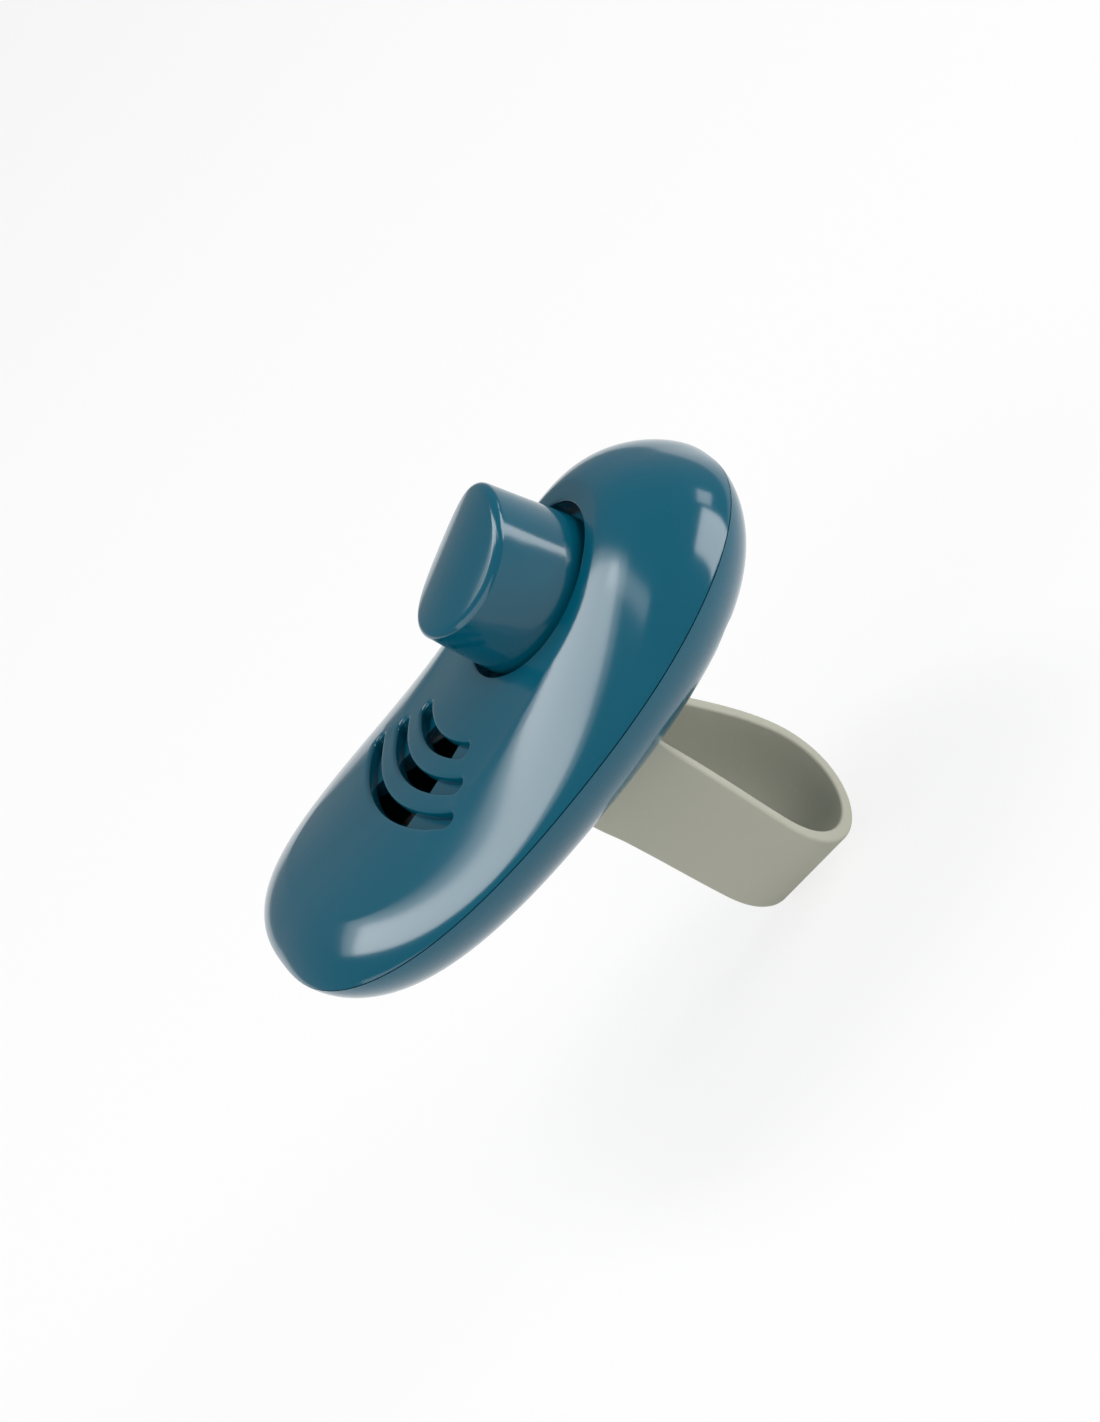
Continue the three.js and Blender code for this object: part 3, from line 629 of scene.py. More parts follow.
@dataclass
class BottomShell:
    """Lower moulding with the belly land, the strap's slots and four counterbored screw holes."""

    centre_x: float = 2.9
    rays: int = 160
    flank_rings: int = 16
    flank_end: float = math.radians(84)
    wall: float = 2.0
    seam_gap: float = 0.06
    land_size: float = 15.0
    land_corner: float = 3.0
    land_z: float = -7.5
    strap_y: float = 4.4
    slot_length: float = 12.0
    slot_width: float = 2.0
    screws: tuple[tuple[float, float], ...] = ((20.0, 12.6), (20.0, -12.6), (-21.5, 11.0), (-21.5, -11.0))
    screw_seat: float = -2.6
    screw_hole: float = 2.3
    bore_bottom: float = -12.0
    boss: float = 3.5
    boss_height: float = 4.0
    boss_drop: float = 0.15
    slot_cutter_height: float = 8.0
    slot_corner: float = 0.5
    inner_shares: tuple[float, ...] = (0.0, 0.3, 0.6, 0.78, 0.88, 0.94, 0.975, 0.993, 1.0)
    belly_shares: tuple[float, ...] = (0.25, 0.5, 0.75, 0.93, 1.0)
    land_edge: tuple[tuple[float, float], ...] = ((0.0, 0.15), (0.05, 0.05), (0.15, 0.0))
    land_inner: float = 2.5

    def land_reach(self, angle: float, size: float) -> float:
        """Give the distance to the edge of the rounded square land in one direction."""
        half = size / 2
        corner = self.land_corner

        def inside(r: float) -> bool:
            x, y = abs(r * math.cos(angle)), abs(r * math.sin(angle))
            if x <= half - corner or y <= half - corner:
                return max(x, y) < half
            return math.hypot(x - half + corner, y - half + corner) < corner

        return last_true(inside, 0.0, size)

    def build(self) -> bpy.types.Object:
        """Shape the shell.

        Returns:
            The lower moulding's object.
        """
        angles = tuple(FULL_TURN * i / self.rays for i in range(self.rays))
        rings = [self._inner_ring(share) for share in self.inner_shares]
        rings += [self._flank_ring(step / self.flank_rings) for step in range(self.flank_rings + 1)]
        rings += [self._belly_ring(share) for share in self.belly_shares]
        rings += [self._land_ring(inset, self.land_z + height) for inset, height in self.land_edge]
        rings += [self._land_ring(inset, self.land_z) for inset in (self.land_inner, self.land_size / 2)]
        shell = finish_mesh("lower_shell", RayGrid(angles).build(rings), smooth_angle=40)
        bosses = [self._screw_boss(f"boss_{number}", x, y) for number, (x, y) in enumerate(self.screws)]
        deep = self.screw_seat - self.bore_bottom
        holes = []
        for number, (x, y) in enumerate(self.screws):
            middle = PLACE.point(x, y, self.screw_seat - deep / 2)
            holes.append(cylinder(f"bore_{number}", middle, self.screw_hole * MM, deep * MM))
        apply_cuts(shell, bosses, "UNION")
        apply_cuts(shell, holes, "DIFFERENCE")
        apply_cuts(shell, [self._strap_slot(side) for side in (1, -1)], "DIFFERENCE")
        shell.data.shade_smooth()
        shell.data.set_sharp_from_angle(angle=math.radians(35))
        return shell

    def _flank_ring(self, share: float) -> Ring:
        """Give a ring of the flank, from the seam (0) to the belly (1)."""

        def place(i: int, angle: float) -> Vector:
            radius, inset = self._flank_point(angle, share)
            x, y = on_ray(self.centre_x, angle, radius)
            return PLACE.point(x, y, BELLY_FORM.shoulder_height(x, inset))

        return place

    def _flank_point(self, angle: float, share: float) -> tuple[float, float]:
        """Give a flank point's distance along its ray and its inset, from the seam (0) to the belly (1)."""
        rim_x = self.centre_x + OUTLINE.reach(self.centre_x, angle, 0) * math.cos(angle)
        turn = mix(BELLY_FORM.edge_turn(rim_x, self.seam_gap), self.flank_end, share)
        inset = BELLY_FORM.turned_inset(rim_x, turn)
        return OUTLINE.reach(self.centre_x, angle, inset), inset

    def _inner_ring(self, share: float) -> Ring:
        """Give a ring of the inner surface, from its middle (0) to the seam (1)."""

        def place(i: int, angle: float) -> Vector:
            x, y = on_ray(self.centre_x, angle, OUTLINE.reach(self.centre_x, angle, self.wall) * share)
            height = OUTLINE.seam(x) if share == 1 else BELLY_FORM.surface(x, y, self.wall)
            return PLACE.point(x, y, height - (self.seam_gap if share == 1 else 0.0))

        return place

    def _belly_ring(self, share: float) -> Ring:
        """Give a ring of the belly, from the flank (0) to the land's edge (1)."""

        def place(i: int, angle: float) -> Vector:
            outer = self._flank_point(angle, 1.0)[0]
            x, y = on_ray(self.centre_x, angle, mix(outer, self.land_reach(angle, self.land_size), share))
            return PLACE.point(x, y, BELLY_FORM.surface(x, y))

        return place

    def _land_ring(self, inset: float, z: float) -> Ring:
        """Give a ring of the raised land at an inset from its edge."""

        def place(i: int, angle: float) -> Vector:
            radius = self.land_reach(angle, self.land_size) * (1 - inset / self.land_size * 2)
            return PLACE.point(*on_ray(self.centre_x, angle, radius), z)

        return place

    def _screw_boss(self, name: str, x: float, y: float) -> bpy.types.Object:
        """Make a screw's boss, from the middle of the belly's wall up to the seam."""
        top = OUTLINE.seam(x) - self.boss_drop
        middle = PLACE.point(x, y, top - self.boss_height / 2)
        boss = cylinder(name, middle, self.boss * MM, self.boss_height * MM)
        for vert in boss.data.vertices:
            if vert.co.z < middle.z:
                out_x = x + (vert.co.x - middle.x) * 1000
                out_y = y + (vert.co.y - middle.y) * 1000
                vert.co = PLACE.point(out_x, out_y, BELLY_FORM.surface(out_x, out_y, self.wall / 2))
        return boss

    def _strap_slot(self, side: int) -> bpy.types.Object:
        """Make the cutter of one of the strap's slots."""
        form = bmesh.new()
        bmesh.ops.create_cube(form, size=1.0)
        size = Vector((self.slot_length, self.slot_width, self.slot_cutter_height)) * MM
        bmesh.ops.scale(form, vec=size, verts=form.verts[:])
        upright = [e for e in form.edges if abs(e.verts[0].co.z - e.verts[1].co.z) > MM]
        bmesh.ops.bevel(
            form, geom=upright, offset=self.slot_corner * MM, offset_type="OFFSET", segments=4, profile=0.5,
            affect="EDGES", material=-1,
        )
        place = PLACE.point(self.centre_x, side * self.strap_y, self.land_z)
        bmesh.ops.translate(form, verts=form.verts[:], vec=place)
        return finish_mesh(f"strap_slot_{side}", form)


@dataclass
class Button:
    """Hinged push button: a drafted cup with a skewed, crowned face, its flange, plunger and hinge arms."""

    tilt: float = math.radians(15)
    face_x: float = 8.75
    face_z: float = 16.3
    face_radius: float = 8.1
    draft: float = 0.06
    rounding: float = 0.85
    skew: float = math.radians(4.1)
    crown: float = 1.45
    fade: float = 4.0
    wall: float = 1.5
    flange_depth: float = 11.4
    flange_thickness: float = 1.2
    flange_radius: float = 10.4
    plunger_radius: float = 1.6
    plunger_bottom: float = -0.05
    pivot_x: float = -2.0
    pivot_z: float = 1.0
    eye_radius: float = 2.0
    eye_bore: float = 1.0
    arm_y: float = 5.9
    arm_thickness: float = 1.8
    arm_inset: float = 1.2
    arm_end: float = 0.9
    roof: float = 0.6
    fading_depths: tuple[float, ...] = (1.3, 1.8, 2.4, 3.1)
    plain_depths: tuple[float, ...] = (5.0, 7.0, 9.5)
    face_rings: int = 12
    rounding_steps: int = 10
    tip_steps: int = 8
    steps: int = 144

    def place(self, form: bmesh.types.BMesh) -> None:
        """Turn and move a shape made about its own axis, face up at zero, to the button's place."""
        turn = Matrix.Rotation(-self.tilt, 4, "Y")
        origin = PLACE.point(self.face_x, 0, self.face_z)
        bmesh.ops.transform(form, matrix=Matrix.Translation(origin) @ turn, verts=form.verts[:])

    def profile(self) -> list[tuple[float, float]]:
        """List the cup's section as radius and height, from its face round to the plunger's tip."""
        flat = self.face_radius - self.rounding
        points = [(flat * i / self.face_rings, 0.0) for i in range(self.face_rings)]
        for step in range(self.rounding_steps + 1):
            turn = step / self.rounding_steps * math.pi / 2
            radius = self.face_radius + self.draft * self.rounding - self.rounding * (1 - math.sin(turn))
            points.append((radius, -self.rounding * (1 - math.cos(turn))))
        for depth in (*self.fading_depths, self.fade, *self.plain_depths, self.flange_depth):
            points.append((self.face_radius + self.draft * depth, -depth))
        bottom = self.flange_depth + self.flange_thickness
        points += [(self.flange_radius, -self.flange_depth), (self.flange_radius, -bottom)]
        points += [(self.face_radius + self.draft * bottom - self.wall, -bottom)]
        inner = self.wall + self.roof
        points += [(self.face_radius + self.draft * self.wall - self.wall, -inner)]
        points += [(self.plunger_radius, -inner)]
        tip = (self.face_z - self.plunger_bottom) / math.cos(self.tilt) - self.plunger_radius
        for step in range(self.tip_steps + 1):
            turn = step / self.tip_steps * math.pi / 2
            points.append((self.plunger_radius * math.cos(turn), -tip - self.plunger_radius * math.sin(turn)))
        return points

    def build(self) -> bpy.types.Object:
        """Shape the button.

        Returns:
            The button's object.
        """
        form = bmesh.new()
        verts = [form.verts.new((r * MM, 0, z * MM)) for r, z in self.profile()]
        edges = [form.edges.new(pair) for pair in zip(verts, verts[1:])]
        bmesh.ops.spin(
            form, geom=verts + edges, cent=(0, 0, 0), axis=(0, 0, 1), angle=FULL_TURN, steps=self.steps,
            use_merge=True,
        )
        bmesh.ops.remove_doubles(form, verts=form.verts[:], dist=1e-6)
        for vert in form.verts:
            fade = max(1 + vert.co.z * 1000 / self.fade, 0.0)
            aside = vert.co.y * 1000 / self.face_radius
            lift = math.tan(self.skew) * vert.co.x - self.crown * aside**2 * MM
            vert.co.z += lift * fade
        self.place(form)
        for side in (1, -1):
            self._add_arm(form, side)
        return finish_mesh("push_button", form, smooth_angle=40)

    def _add_arm(self, form: bmesh.types.BMesh, side: int) -> None:
        """Add one of the two arms from the flange back to the hinge pin."""
        depth = self.flange_depth + self.flange_thickness / 2
        chord = math.sqrt(self.flange_radius**2 - self.arm_y**2) - self.arm_inset
        end_x = self.face_x + depth * math.sin(self.tilt) - chord * math.cos(self.tilt)
        end_z = self.face_z - depth * math.cos(self.tilt) - chord * math.sin(self.tilt)
        slope = math.atan2(end_z - self.pivot_z, end_x - self.pivot_x)
        inner, outer = self.arm_y - self.arm_thickness / 2, self.arm_y + self.arm_thickness / 2
        pivot = (self.pivot_x, self.pivot_z)
        outline = arc(pivot, self.eye_radius, (slope + math.radians(60 + 10 * step) for step in range(25)))
        end = (end_x, end_z)
        outline += arc(end, self.arm_end, (slope + math.radians(-90 + 30 * step) for step in range(7)))
        bore = arc(pivot, self.eye_bore, (step / 24 * FULL_TURN for step in range(24)))
        edges = []
        for loop in (outline, bore):
            verts = [form.verts.new(PLACE.point(x, side * inner, z)) for x, z in loop]
            edges += [form.edges.new(pair) for pair in zip(verts, verts[1:] + verts[:1])]
        filled = bmesh.ops.triangle_fill(form, use_beauty=True, edges=edges)["geom"]
        grown = bmesh.ops.extrude_face_region(form, geom=pick(filled, bmesh.types.BMFace))["geom"]
        far_side = pick(grown, bmesh.types.BMVert)
        bmesh.ops.translate(form, verts=far_side, vec=Vector((0, side * (outer - inner) * MM, 0)))


@dataclass
class Strap:
    """Soft band that leaves the belly twice and goes round the finger."""

    width: float = 11.4
    thickness: float = 1.4
    root_x: float = 2.9
    root_y: float = 4.4
    root_z: float = -7.14
    head_z: float = -4.1
    head_length: float = 4.2
    head_thickness: float = 1.2
    bulge: float = 8.28
    pinch: float = 2.4
    leg: float = 21.1
    bowl: float = 8.66
    turn: Vector = field(default_factory=lambda: Vector((0.047, -0.287, -0.245)))
    twist: float = -0.23
    sweep: float = -0.71
    span: float = 20.0
    blend: float = 8.0
    leg_steps: int = 40
    bowl_steps: int = 56
    edge: float = 0.32
    edge_steps: int = 4

    def line(self) -> list[tuple[float, float]]:
        """List the band's middle line, across the finger and down from the belly."""
        points = [(-self.root_y, self.root_z - self.head_z)]
        near = self.bulge - self.pinch
        for i in range(self.leg_steps + 1):
            share = i / self.leg_steps
            points.append((-mix(self.root_y, near, smooth_step(0, 1, share)), share * self.leg))
        for i in range(1, self.bowl_steps + 1):
            angle = i / self.bowl_steps * math.pi
            shift = self.pinch * (math.cos(angle) + 1) / 2
            points.append((-self.bulge * math.cos(angle) + shift, self.leg + self.bowl * math.sin(angle)))
        for i in range(self.leg_steps - 1, -1, -1):
            share = i / self.leg_steps
            points.append((mix(self.root_y, self.bulge, smooth_step(0, 1, share)), share * self.leg))
        points.append((self.root_y, self.root_z - self.head_z))
        return points

    def point(self, across: float, down: float, along: float) -> Vector:
        """Give the row-frame place of a point of the band.

        Args:
            across: across the finger.
            down: away from the belly.
            along: along the finger, over the band's width.

        Returns:
            The place in metres: upright in the belly, leaning and twisting further down.
        """
        angle = self.twist * down / self.span
        leaning = Vector((
            along * math.cos(angle) - across * math.sin(angle) + self.sweep * (down / self.span) ** 2,
            along * math.sin(angle) + across * math.cos(angle),
            -down,
        ))
        leaning.rotate(Matrix.Rotation(self.turn.length, 3, self.turn.normalized()))
        leaning += Vector((self.root_x, 0, self.root_z))
        upright = Vector((self.root_x + along, across, self.root_z - down))
        placed = upright.lerp(leaning, smooth_step(0, self.blend, down))
        return PLACE.point(*placed)

    def section(self) -> list[tuple[float, float]]:
        """List the band's section as along and outward, with soft edges."""
        wide, thick = self.width / 2 - self.edge, self.thickness / 2 - self.edge
        points = []
        for number, (sx, sy) in enumerate(((1, 1), (-1, 1), (-1, -1), (1, -1))):
            for step in range(self.edge_steps + 1):
                angle = (number + step / self.edge_steps) * math.pi / 2
                points += arc((sx * wide, sy * thick), self.edge, [angle])
        return points

    def build(self) -> bpy.types.Object:
        """Shape the strap.

        Returns:
            The strap's object.
        """
        line = self.line()
        section = self.section()
        form = bmesh.new()
        bmesh.ops.create_circle(form, segments=len(section), radius=1.0, cap_ends=True)
        form.verts.ensure_lookup_table()
        ring = list(form.verts)
        face = next(iter(form.faces))
        for number, (across, down) in enumerate(line):
            if number > 0:
                grown = bmesh.ops.extrude_face_region(form, geom=[face])["geom"]
                new_face = pick(grown, bmesh.types.BMFace)[0]
                ring = next_ring(ring, grown)
                if number > 1:
                    bmesh.ops.delete(form, geom=[face], context="FACES_ONLY")
                face = new_face
            before, after = line[max(number - 1, 0)], line[min(number + 1, len(line) - 1)]
            run = math.hypot(after[0] - before[0], after[1] - before[1])
            out = (-(after[1] - before[1]) / run, (after[0] - before[0]) / run)
            for vert, (along, thick) in zip(ring, section):
                vert.co = self.point(across + thick * out[0], down + thick * out[1], along)
        for side in (1, -1):
            self._add_head(form, side)
        return finish_mesh("finger_strap", form, smooth_angle=50)

    def _add_head(self, form: bmesh.types.BMesh, side: int) -> None:
        """Add the thick head that holds one end of the band inside the shell."""
        size = Vector((self.width, self.head_length, self.head_thickness)) * MM
        centre = PLACE.point(self.root_x, side * self.root_y, self.head_z)
        place = Matrix.Translation(centre) @ Matrix.Diagonal(size.to_4d())
        bmesh.ops.create_cube(form, size=1.0, matrix=place)


@dataclass
class ClickPlate:
    """Spring steel strip with a pressed dimple, which bends under the button's plunger."""

    root_x: float = -21.5
    tip_x: float = 16.5
    width: float = 9.0
    thickness: float = 0.5
    z: float = -0.6
    corner: float = 2.25
    dimple_x: float = -8.0
    dimple_radius: float = 3.0
    dimple_height: float = 0.6
    hole_x: float = -18.5
    hole_y: float = 2.9
    hole_radius: float = 1.2
    hole_cutter_height: float = 4.0
    bend_start: float = -16.0
    bend_end: float = 12.0
    length_steps: int = 76
    width_steps: int = 18

    def _place(self, x: float, y: float) -> Vector:
        """Round the strip's corners and raise its dimple."""
        from_end = min(x - self.root_x, self.tip_x - x, self.corner)
        half = self.width / 2
        edge = half - self.corner + math.sqrt(self.corner**2 - (self.corner - from_end) ** 2)
        sphere = (self.dimple_radius**2 + self.dimple_height**2) / (2 * self.dimple_height)
        away = math.hypot(x - self.dimple_x, y)
        lift = self.dimple_height - sphere + math.sqrt(sphere**2 - min(away, self.dimple_radius) ** 2)
        return PLACE.point(x, y * edge / half, self.z + max(lift, 0.0))

    def build(self) -> bpy.types.Object:
        """Shape the plate.

        Returns:
            The plate's object.
        """
        form = bmesh.new()
        bmesh.ops.create_grid(form, x_segments=self.length_steps, y_segments=self.width_steps, size=0.5)
        length = self.tip_x - self.root_x
        for vert in form.verts:
            vert.co = self._place(self.root_x + (vert.co.x + 0.5) * length, vert.co.y * self.width)
        plate = finish_mesh("spring_plate", form, smooth_angle=50)
        thicken = plate.modifiers.new("steel", "SOLIDIFY")
        thicken.thickness = self.thickness * MM
        thicken.offset = 0
        apply_modifiers(plate)
        cutters = []
        for side in (1, -1):
            centre = PLACE.point(self.hole_x, side * self.hole_y, self.z)
            size = (self.hole_radius * MM, self.hole_cutter_height * MM)
            cutters.append(cylinder(f"plate_hole_{side}", centre, *size))
        apply_cuts(plate, cutters, "DIFFERENCE")
        return plate

    def bend(self, plate: bpy.types.Object) -> None:
        """Bake the plate's placement into its mesh; nothing bends it or makes the free end follow the button.
        """
        ends = [PLACE.point(x, 0, self.z) for x in (self.bend_start, self.bend_end)]
        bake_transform(plate)


class NodeKit:
    """Adds shader nodes to a tree and joins them."""

    def __init__(self, tree: bpy.types.NodeTree) -> None:
        """Keep the tree that is built."""
        self.tree = tree

    def add(self, kind: str, **values) -> bpy.types.Node:
        """Add a node and set its options and inputs.

        Args:
            kind: the node's type.
            **values: options by name, and inputs by name with underscores for spaces.

        Returns:
            The node.
        """
        node = self.tree.nodes.new(kind)
        for name, value in values.items():
            label = name.replace("_", " ")
            if hasattr(node, name):
                setattr(node, name, value)
            elif label in node.inputs:
                node.inputs[label].default_value = value
            else:
                raise ValueError(f"{kind} has no {name}")
        return node

    def link(self, source: bpy.types.NodeSocket, target: bpy.types.NodeSocket) -> None:
        """Join two sockets."""
        self.tree.links.new(source, target)


def surface_group() -> bpy.types.NodeTree:
    """Build the shared group that gives a moulded surface its unevenness.

    Returns:
        A group with a fine height for a bump and a slow variation for colour and roughness.
    """
    tree = bpy.data.node_groups.new("Moulded unevenness", "ShaderNodeTree")
    kit = NodeKit(tree)
    for name, value in (("Wave size", 90.0), ("Grain size", 1500.0), ("Grain share", 0.3)):
        socket = tree.interface.new_socket(name, in_out="INPUT", socket_type="NodeSocketFloat")
        socket.default_value = value
    for name in ("Height", "Variation", "Specks"):
        tree.interface.new_socket(name, in_out="OUTPUT", socket_type="NodeSocketFloat")
    entry = kit.add("NodeGroupInput")
    leave = kit.add("NodeGroupOutput")
    place = kit.add("ShaderNodeTexCoord")
    waves = kit.add("ShaderNodeTexNoise", Detail=2.0, Roughness=0.5)
    grain = kit.add("ShaderNodeTexNoise", Detail=4.0, Roughness=0.6)
    specks = kit.add("ShaderNodeTexNoise", Scale=900.0, Detail=1.0)
    for node in (waves, grain, specks):
        kit.link(place.outputs["Object"], node.inputs["Vector"])
    kit.link(entry.outputs["Wave size"], waves.inputs["Scale"])
    kit.link(entry.outputs["Grain size"], grain.inputs["Scale"])
    blend = kit.add("ShaderNodeMix", data_type="FLOAT")
    kit.link(entry.outputs["Grain share"], blend.inputs["Factor"])
    kit.link(waves.outputs["Fac"], blend.inputs["A"])
    kit.link(grain.outputs["Fac"], blend.inputs["B"])
    kit.link(blend.outputs["Result"], leave.inputs["Height"])
    kit.link(waves.outputs["Fac"], leave.inputs["Variation"])
    threshold = kit.add("ShaderNodeMapRange", From_Min=0.72, From_Max=0.78)
    kit.link(specks.outputs["Fac"], threshold.inputs["Value"])
    kit.link(threshold.outputs["Result"], leave.inputs["Specks"])
    return tree


@dataclass(frozen=True)
class Finish:
    """One material: two colours that drift into each other, a roughness range and a bump."""

    name: str
    dark: tuple[float, float, float]
    light: tuple[float, float, float]
    roughness: tuple[float, float]
    bump: float
    bump_distance: float
    wave_size: float
    grain_size: float
    grain_share: float
    metallic: float = 0.0
    speck: float = 0.0
    ior: float = 1.5

    def build(self, group: bpy.types.NodeTree) -> bpy.types.Material:
        """Make the material.

        Args:
            group: the shared unevenness group.

        Returns:
            The material.
        """
        material = bpy.data.materials.new(self.name)
        material.use_nodes = True
        tree = material.node_tree
        tree.nodes.clear()
        kit = NodeKit(tree)
        shader = kit.add("ShaderNodeBsdfPrincipled", Metallic=self.metallic, IOR=self.ior)
        leave = kit.add("ShaderNodeOutputMaterial")
        texture = kit.add(
            "ShaderNodeGroup", node_tree=group, Wave_size=self.wave_size, Grain_size=self.grain_size,
            Grain_share=self.grain_share,
        )
        colour = kit.add("ShaderNodeMix", data_type="RGBA")
        colour.inputs["A"].default_value = (*self.dark, 1)
        colour.inputs["B"].default_value = (*self.light, 1)
        kit.link(texture.outputs["Variation"], colour.inputs["Factor"])
        lint = kit.add("ShaderNodeMix", data_type="RGBA")
        lint.inputs["B"].default_value = (0.6, 0.6, 0.58, 1)
        share = kit.add("ShaderNodeMath", operation="MULTIPLY")
        share.inputs[1].default_value = self.speck
        kit.link(texture.outputs["Specks"], share.inputs[0])
        kit.link(share.outputs["Value"], lint.inputs["Factor"])
        kit.link(colour.outputs["Result"], lint.inputs["A"])
        kit.link(lint.outputs["Result"], shader.inputs["Base Color"])
        rough = kit.add("ShaderNodeMapRange", To_Min=self.roughness[0], To_Max=self.roughness[1])
        kit.link(texture.outputs["Variation"], rough.inputs["Value"])
        kit.link(rough.outputs["Result"], shader.inputs["Roughness"])
        bump = kit.add("ShaderNodeBump", Strength=self.bump, Distance=self.bump_distance)
        kit.link(texture.outputs["Height"], bump.inputs["Height"])
        kit.link(bump.outputs["Normal"], shader.inputs["Normal"])
        kit.link(shader.outputs["BSDF"], leave.inputs["Surface"])
        return material


TEAL = Finish(
    name="Gloss teal moulding", dark=(0.0, 0.080, 0.130), light=(0.0, 0.092, 0.148), roughness=(0.11, 0.15),
    bump=0.10, bump_distance=0.00006, wave_size=90.0, grain_size=1500.0, grain_share=0.10,
)
RUBBER = Finish(
    name="Soft grey rubber", dark=(0.40, 0.40, 0.325), light=(0.44, 0.44, 0.36), roughness=(0.62, 0.72),
    bump=0.25, bump_distance=0.00008, wave_size=60.0, grain_size=2600.0, grain_share=0.85, speck=0.12,
)
SPRING = Finish(
    name="Rolled spring steel", dark=(0.42, 0.43, 0.45), light=(0.52, 0.53, 0.55), roughness=(0.22, 0.34),
    bump=0.15, bump_distance=0.00005, wave_size=120.0, grain_size=2600.0, grain_share=0.6, metallic=1.0,
)
ZINC = Finish(
    name="Zinc plated steel", dark=(0.38, 0.40, 0.42), light=(0.48, 0.50, 0.52), roughness=(0.30, 0.45),
    bump=0.2, bump_distance=0.00005, wave_size=150.0, grain_size=3000.0, grain_share=0.6, metallic=1.0,
)


@dataclass
class Studio:
    """Pale floor, soft boxes and the camera at the photograph's place."""

    focal_px: float = 5000.0
    turn: tuple[tuple[float, float, float], ...] = (
        (0.6507, -0.2981, -0.6983),
        (-0.7587, -0.2914, -0.5826),
        (-0.0299, 0.909, -0.4158),
    )
    place: tuple[float, float, float] = (18.29, -453.53, 204.87)
    lamp_distance: float = 0.6
    lamp_aim: tuple[float, float, float] = (0.0, 0.0, 0.008)
    floor_z: float = -0.0305
    floor_radius: float = 3.0
    floor_white: float = 0.8
    room_glow: float = 0.3

    def add_camera(self) -> None:
        """Make the scene's camera."""
        data = bpy.data.cameras.new("Photo camera")
        data.sensor_fit = "AUTO"
        data.sensor_width = 36.0
        data.lens = self.focal_px / PHOTO_HEIGHT * data.sensor_width
        data.clip_start = 0.01
        data.clip_end = 10
        camera = bpy.data.objects.new("Photo camera", data)
        right, down, forward = (Vector(row) for row in self.turn)
        basis = Matrix((right, -down, -forward)).transposed().to_4x4()
        camera.matrix_world = Matrix.Translation(PLACE.point(*self.place)) @ basis
        bpy.context.scene.collection.objects.link(camera)
        bpy.context.scene.camera = camera

    def add_softbox(
        self, name: str, towards: tuple[float, float, float], size: tuple[float, float], glow: float,
        spin: float = 0.0,
    ) -> None:
        """Add a rectangular lamp aimed at the object.

        Args:
            name: the lamp's name.
            towards: its direction from the object, to the right, up and near in the picture.
            size: its length towards the camera and its width, in metres.
            glow: how bright its face is, where 1 is white.
            spin: turn about its own direction, in degrees.
        """
        right, down, forward = (Vector(row) for row in self.turn)
        direction = (right * towards[0] - down * towards[1] - forward * towards[2]).normalized()
        near = (-forward + direction * forward.dot(direction)).normalized()
        data = bpy.data.lights.new(name, "AREA")
        data.shape = "RECTANGLE"
        data.size, data.size_y = size
        data.energy = glow * math.pi * size[0] * size[1]
        lamp = bpy.data.objects.new(name, data)
        lamp.visible_camera = False
        turn = Matrix((near, direction.cross(near), direction)).transposed().to_4x4()
        place = Vector(self.lamp_aim) + direction * self.lamp_distance
        lamp.matrix_world = Matrix.Translation(place) @ turn @ Matrix.Rotation(math.radians(spin), 4, "Z")
        bpy.context.scene.collection.objects.link(lamp)

    def add_floor(self) -> None:
        """Lay the pale floor under the lowest point, with the object's shadow, and clear from below."""
        form = bmesh.new()
        bmesh.ops.create_circle(
            form, cap_ends=True, segments=64, radius=self.floor_radius,
            matrix=Matrix.Translation((0, 0, self.floor_z)),
        )
        floor = finish_mesh("studio_floor", form)
        if floor.data.polygons[0].normal.z < 0:
            floor.data.flip_normals()
        material = bpy.data.materials.new("Pale floor")
        material.use_nodes = True
        tree = material.node_tree
        tree.nodes.clear()
        kit = NodeKit(tree)
        paint = kit.add("ShaderNodeBsdfDiffuse", Color=(0.9, 0.9, 0.9, 1))
        white = kit.add("ShaderNodeEmission", Color=(1, 1, 1, 1), Strength=1.0)
        share = kit.add("ShaderNodeMath", operation="MULTIPLY")
        share.inputs[1].default_value = self.floor_white
        kit.link(self._seen(kit), share.inputs[0])
        blend = kit.add("ShaderNodeMixShader")
        leave = kit.add("ShaderNodeOutputMaterial")
        kit.link(share.outputs["Value"], blend.inputs["Fac"])
        kit.link(paint.outputs["BSDF"], blend.inputs[1])
        kit.link(white.outputs["Emission"], blend.inputs[2])
        below = kit.add("ShaderNodeNewGeometry")
        clear = kit.add("ShaderNodeBsdfTransparent")
        sides = kit.add("ShaderNodeMixShader")
        kit.link(below.outputs["Backfacing"], sides.inputs["Fac"])
        kit.link(blend.outputs["Shader"], sides.inputs[1])
        kit.link(clear.outputs["BSDF"], sides.inputs[2])
        kit.link(sides.outputs["Shader"], leave.inputs["Surface"])
        wear(floor, material)

    def _seen(self, kit: NodeKit) -> bpy.types.NodeSocket:
        """Give 1 for camera, glossy and transmission rays, and 0 for the rest."""
        path = kit.add("ShaderNodeLightPath")
        total = path.outputs["Is Camera Ray"]
        for name in ("Is Glossy Ray", "Is Transmission Ray"):
            either = kit.add("ShaderNodeMath", operation="MAXIMUM")
            kit.link(total, either.inputs[0])
            kit.link(path.outputs[name], either.inputs[1])
            total = either.outputs["Value"]
        return total

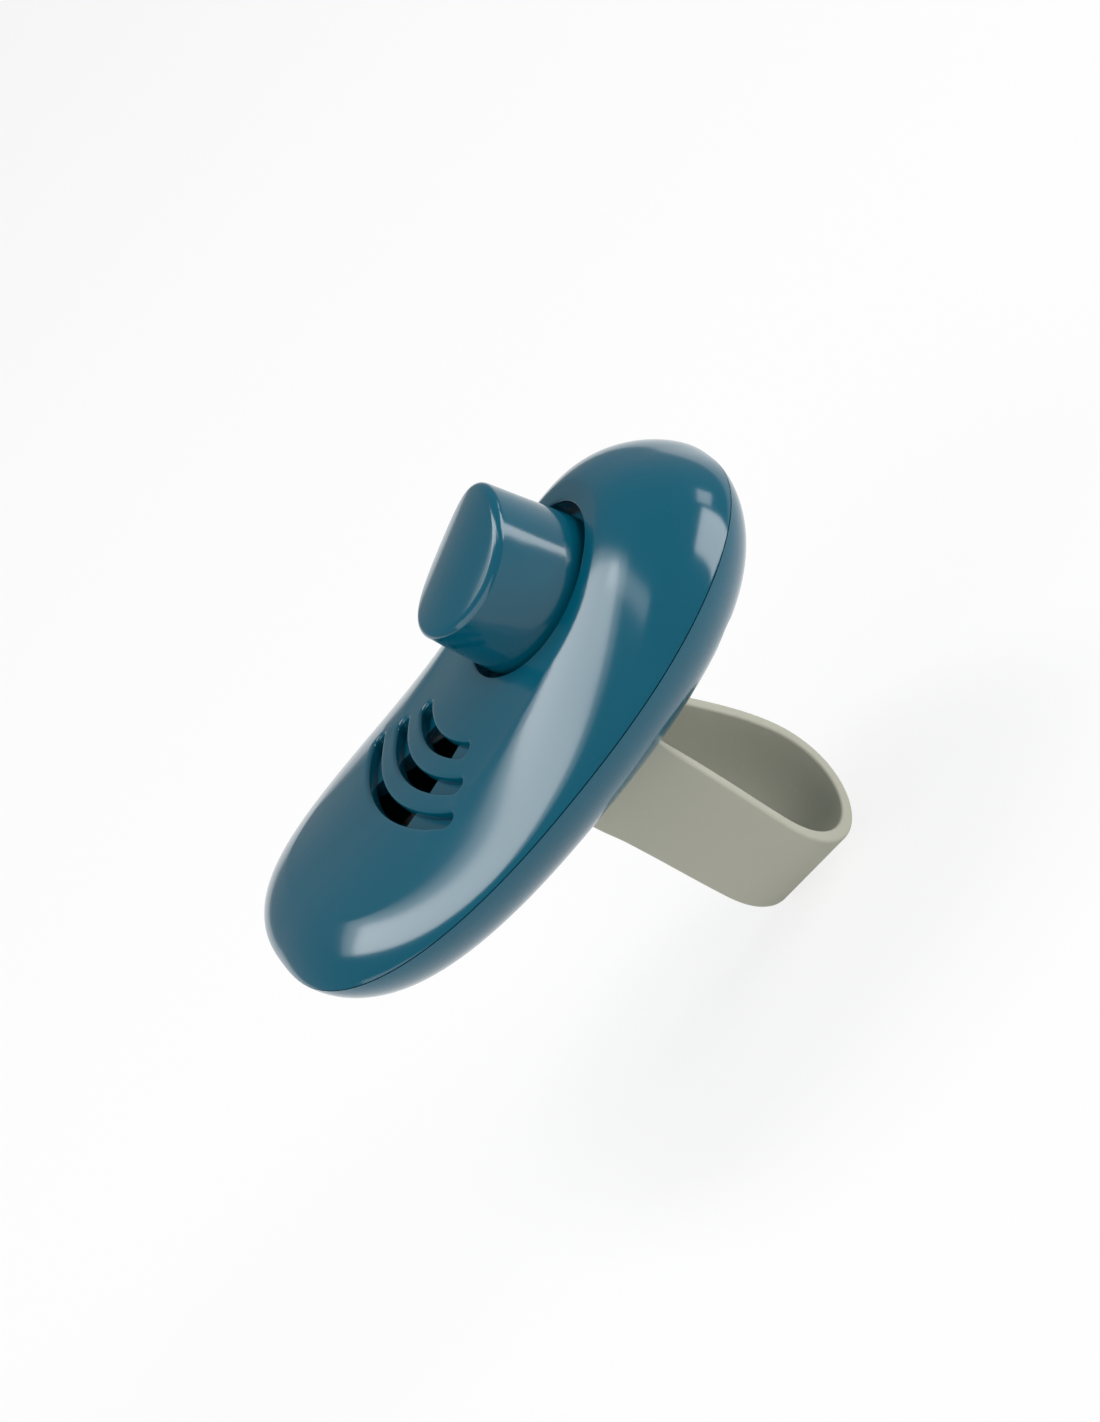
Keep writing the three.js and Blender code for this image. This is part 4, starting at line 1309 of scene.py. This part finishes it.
    def add_world(self) -> None:
        """Light softly from all round."""
        world = bpy.data.worlds.new("Soft room")
        bpy.context.scene.world = world
        world.use_nodes = True
        room = world.node_tree.nodes["Background"]
        room.inputs["Color"].default_value = (1, 1, 1, 1)
        room.inputs["Strength"].default_value = self.room_glow

    def build(self) -> None:
        """Set the stage."""
        bpy.context.scene.view_settings.view_transform = "Standard"
        self.add_world()
        self.add_camera()
        self.add_floor()
        self.add_softbox("Upper panel", (-0.851, 0.503, 0.15), (0.42, 0.15), 4.8, spin=27)
        self.add_softbox("Upper glow", (-0.84, 0.525, 0.138), (0.54, 0.18), 2.0, spin=27)
        self.add_softbox("Upper near panel", (-0.578, 0.639, 0.507), (0.34, 0.055), 2.6, spin=27)
        self.add_softbox("Side panel", (0.484, 0.786, 0.384), (0.32, 0.37), 6.6)
        self.add_softbox("Side window", (0.275, 0.961, -0.035), (0.13, 0.09), 3.5)
        self.add_softbox("Front fill", (-0.6, -0.5, 0.6), (0.7, 0.7), 1.5)


def wear(piece: bpy.types.Object, material: bpy.types.Material) -> None:
    """Give a piece one material."""
    piece.data.materials.clear()
    piece.data.materials.append(material)


def settle(piece: bpy.types.Object, body: Body, slot: Slot, nodes: tuple[str, ...]) -> None:
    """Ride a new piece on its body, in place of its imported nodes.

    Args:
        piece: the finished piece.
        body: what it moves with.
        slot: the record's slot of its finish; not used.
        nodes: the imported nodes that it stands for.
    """
    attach(piece, body.value)
    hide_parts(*nodes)
    LOG.info("%s: %d faces, rides on %s", piece.name, len(piece.data.polygons), body.value)


def main() -> None:
    """Build the clicker's pieces in order, dress them and light them."""
    logging.basicConfig(level=logging.INFO, format="%(message)s")
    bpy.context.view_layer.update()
    group = surface_group()
    finishes = {
        Slot.TEAL: TEAL.build(group),
        Slot.RUBBER: RUBBER.build(group),
        Slot.SPRING: SPRING.build(group),
        Slot.ZINC: ZINC.build(group),
    }
    Studio().build()
    for entry in frame["record"]["subparts"]:
        node = frame["nodes"][entry["node"]]
        wear(node, finishes[Slot(entry["material_slot"])])
    pieces = (
        (TopShell().build(), Body.CASE, Slot.TEAL, ("top_shell",)),
        (BottomShell().build(), Body.CASE, Slot.TEAL, ("bottom_shell",)),
        (Button().build(), Body.BUTTON, Slot.TEAL, ("button",)),
        (Strap().build(), Body.CASE, Slot.RUBBER, ("strap",)),
    )
    for piece, body, slot, nodes in pieces:
        wear(piece, finishes[slot])
        settle(piece, body, slot, nodes)
    spring = ClickPlate()
    plate = spring.build()
    wear(plate, finishes[Slot.SPRING])
    spring.bend(plate)
    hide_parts("click_plate")


if __name__ == "__main__":
    main()
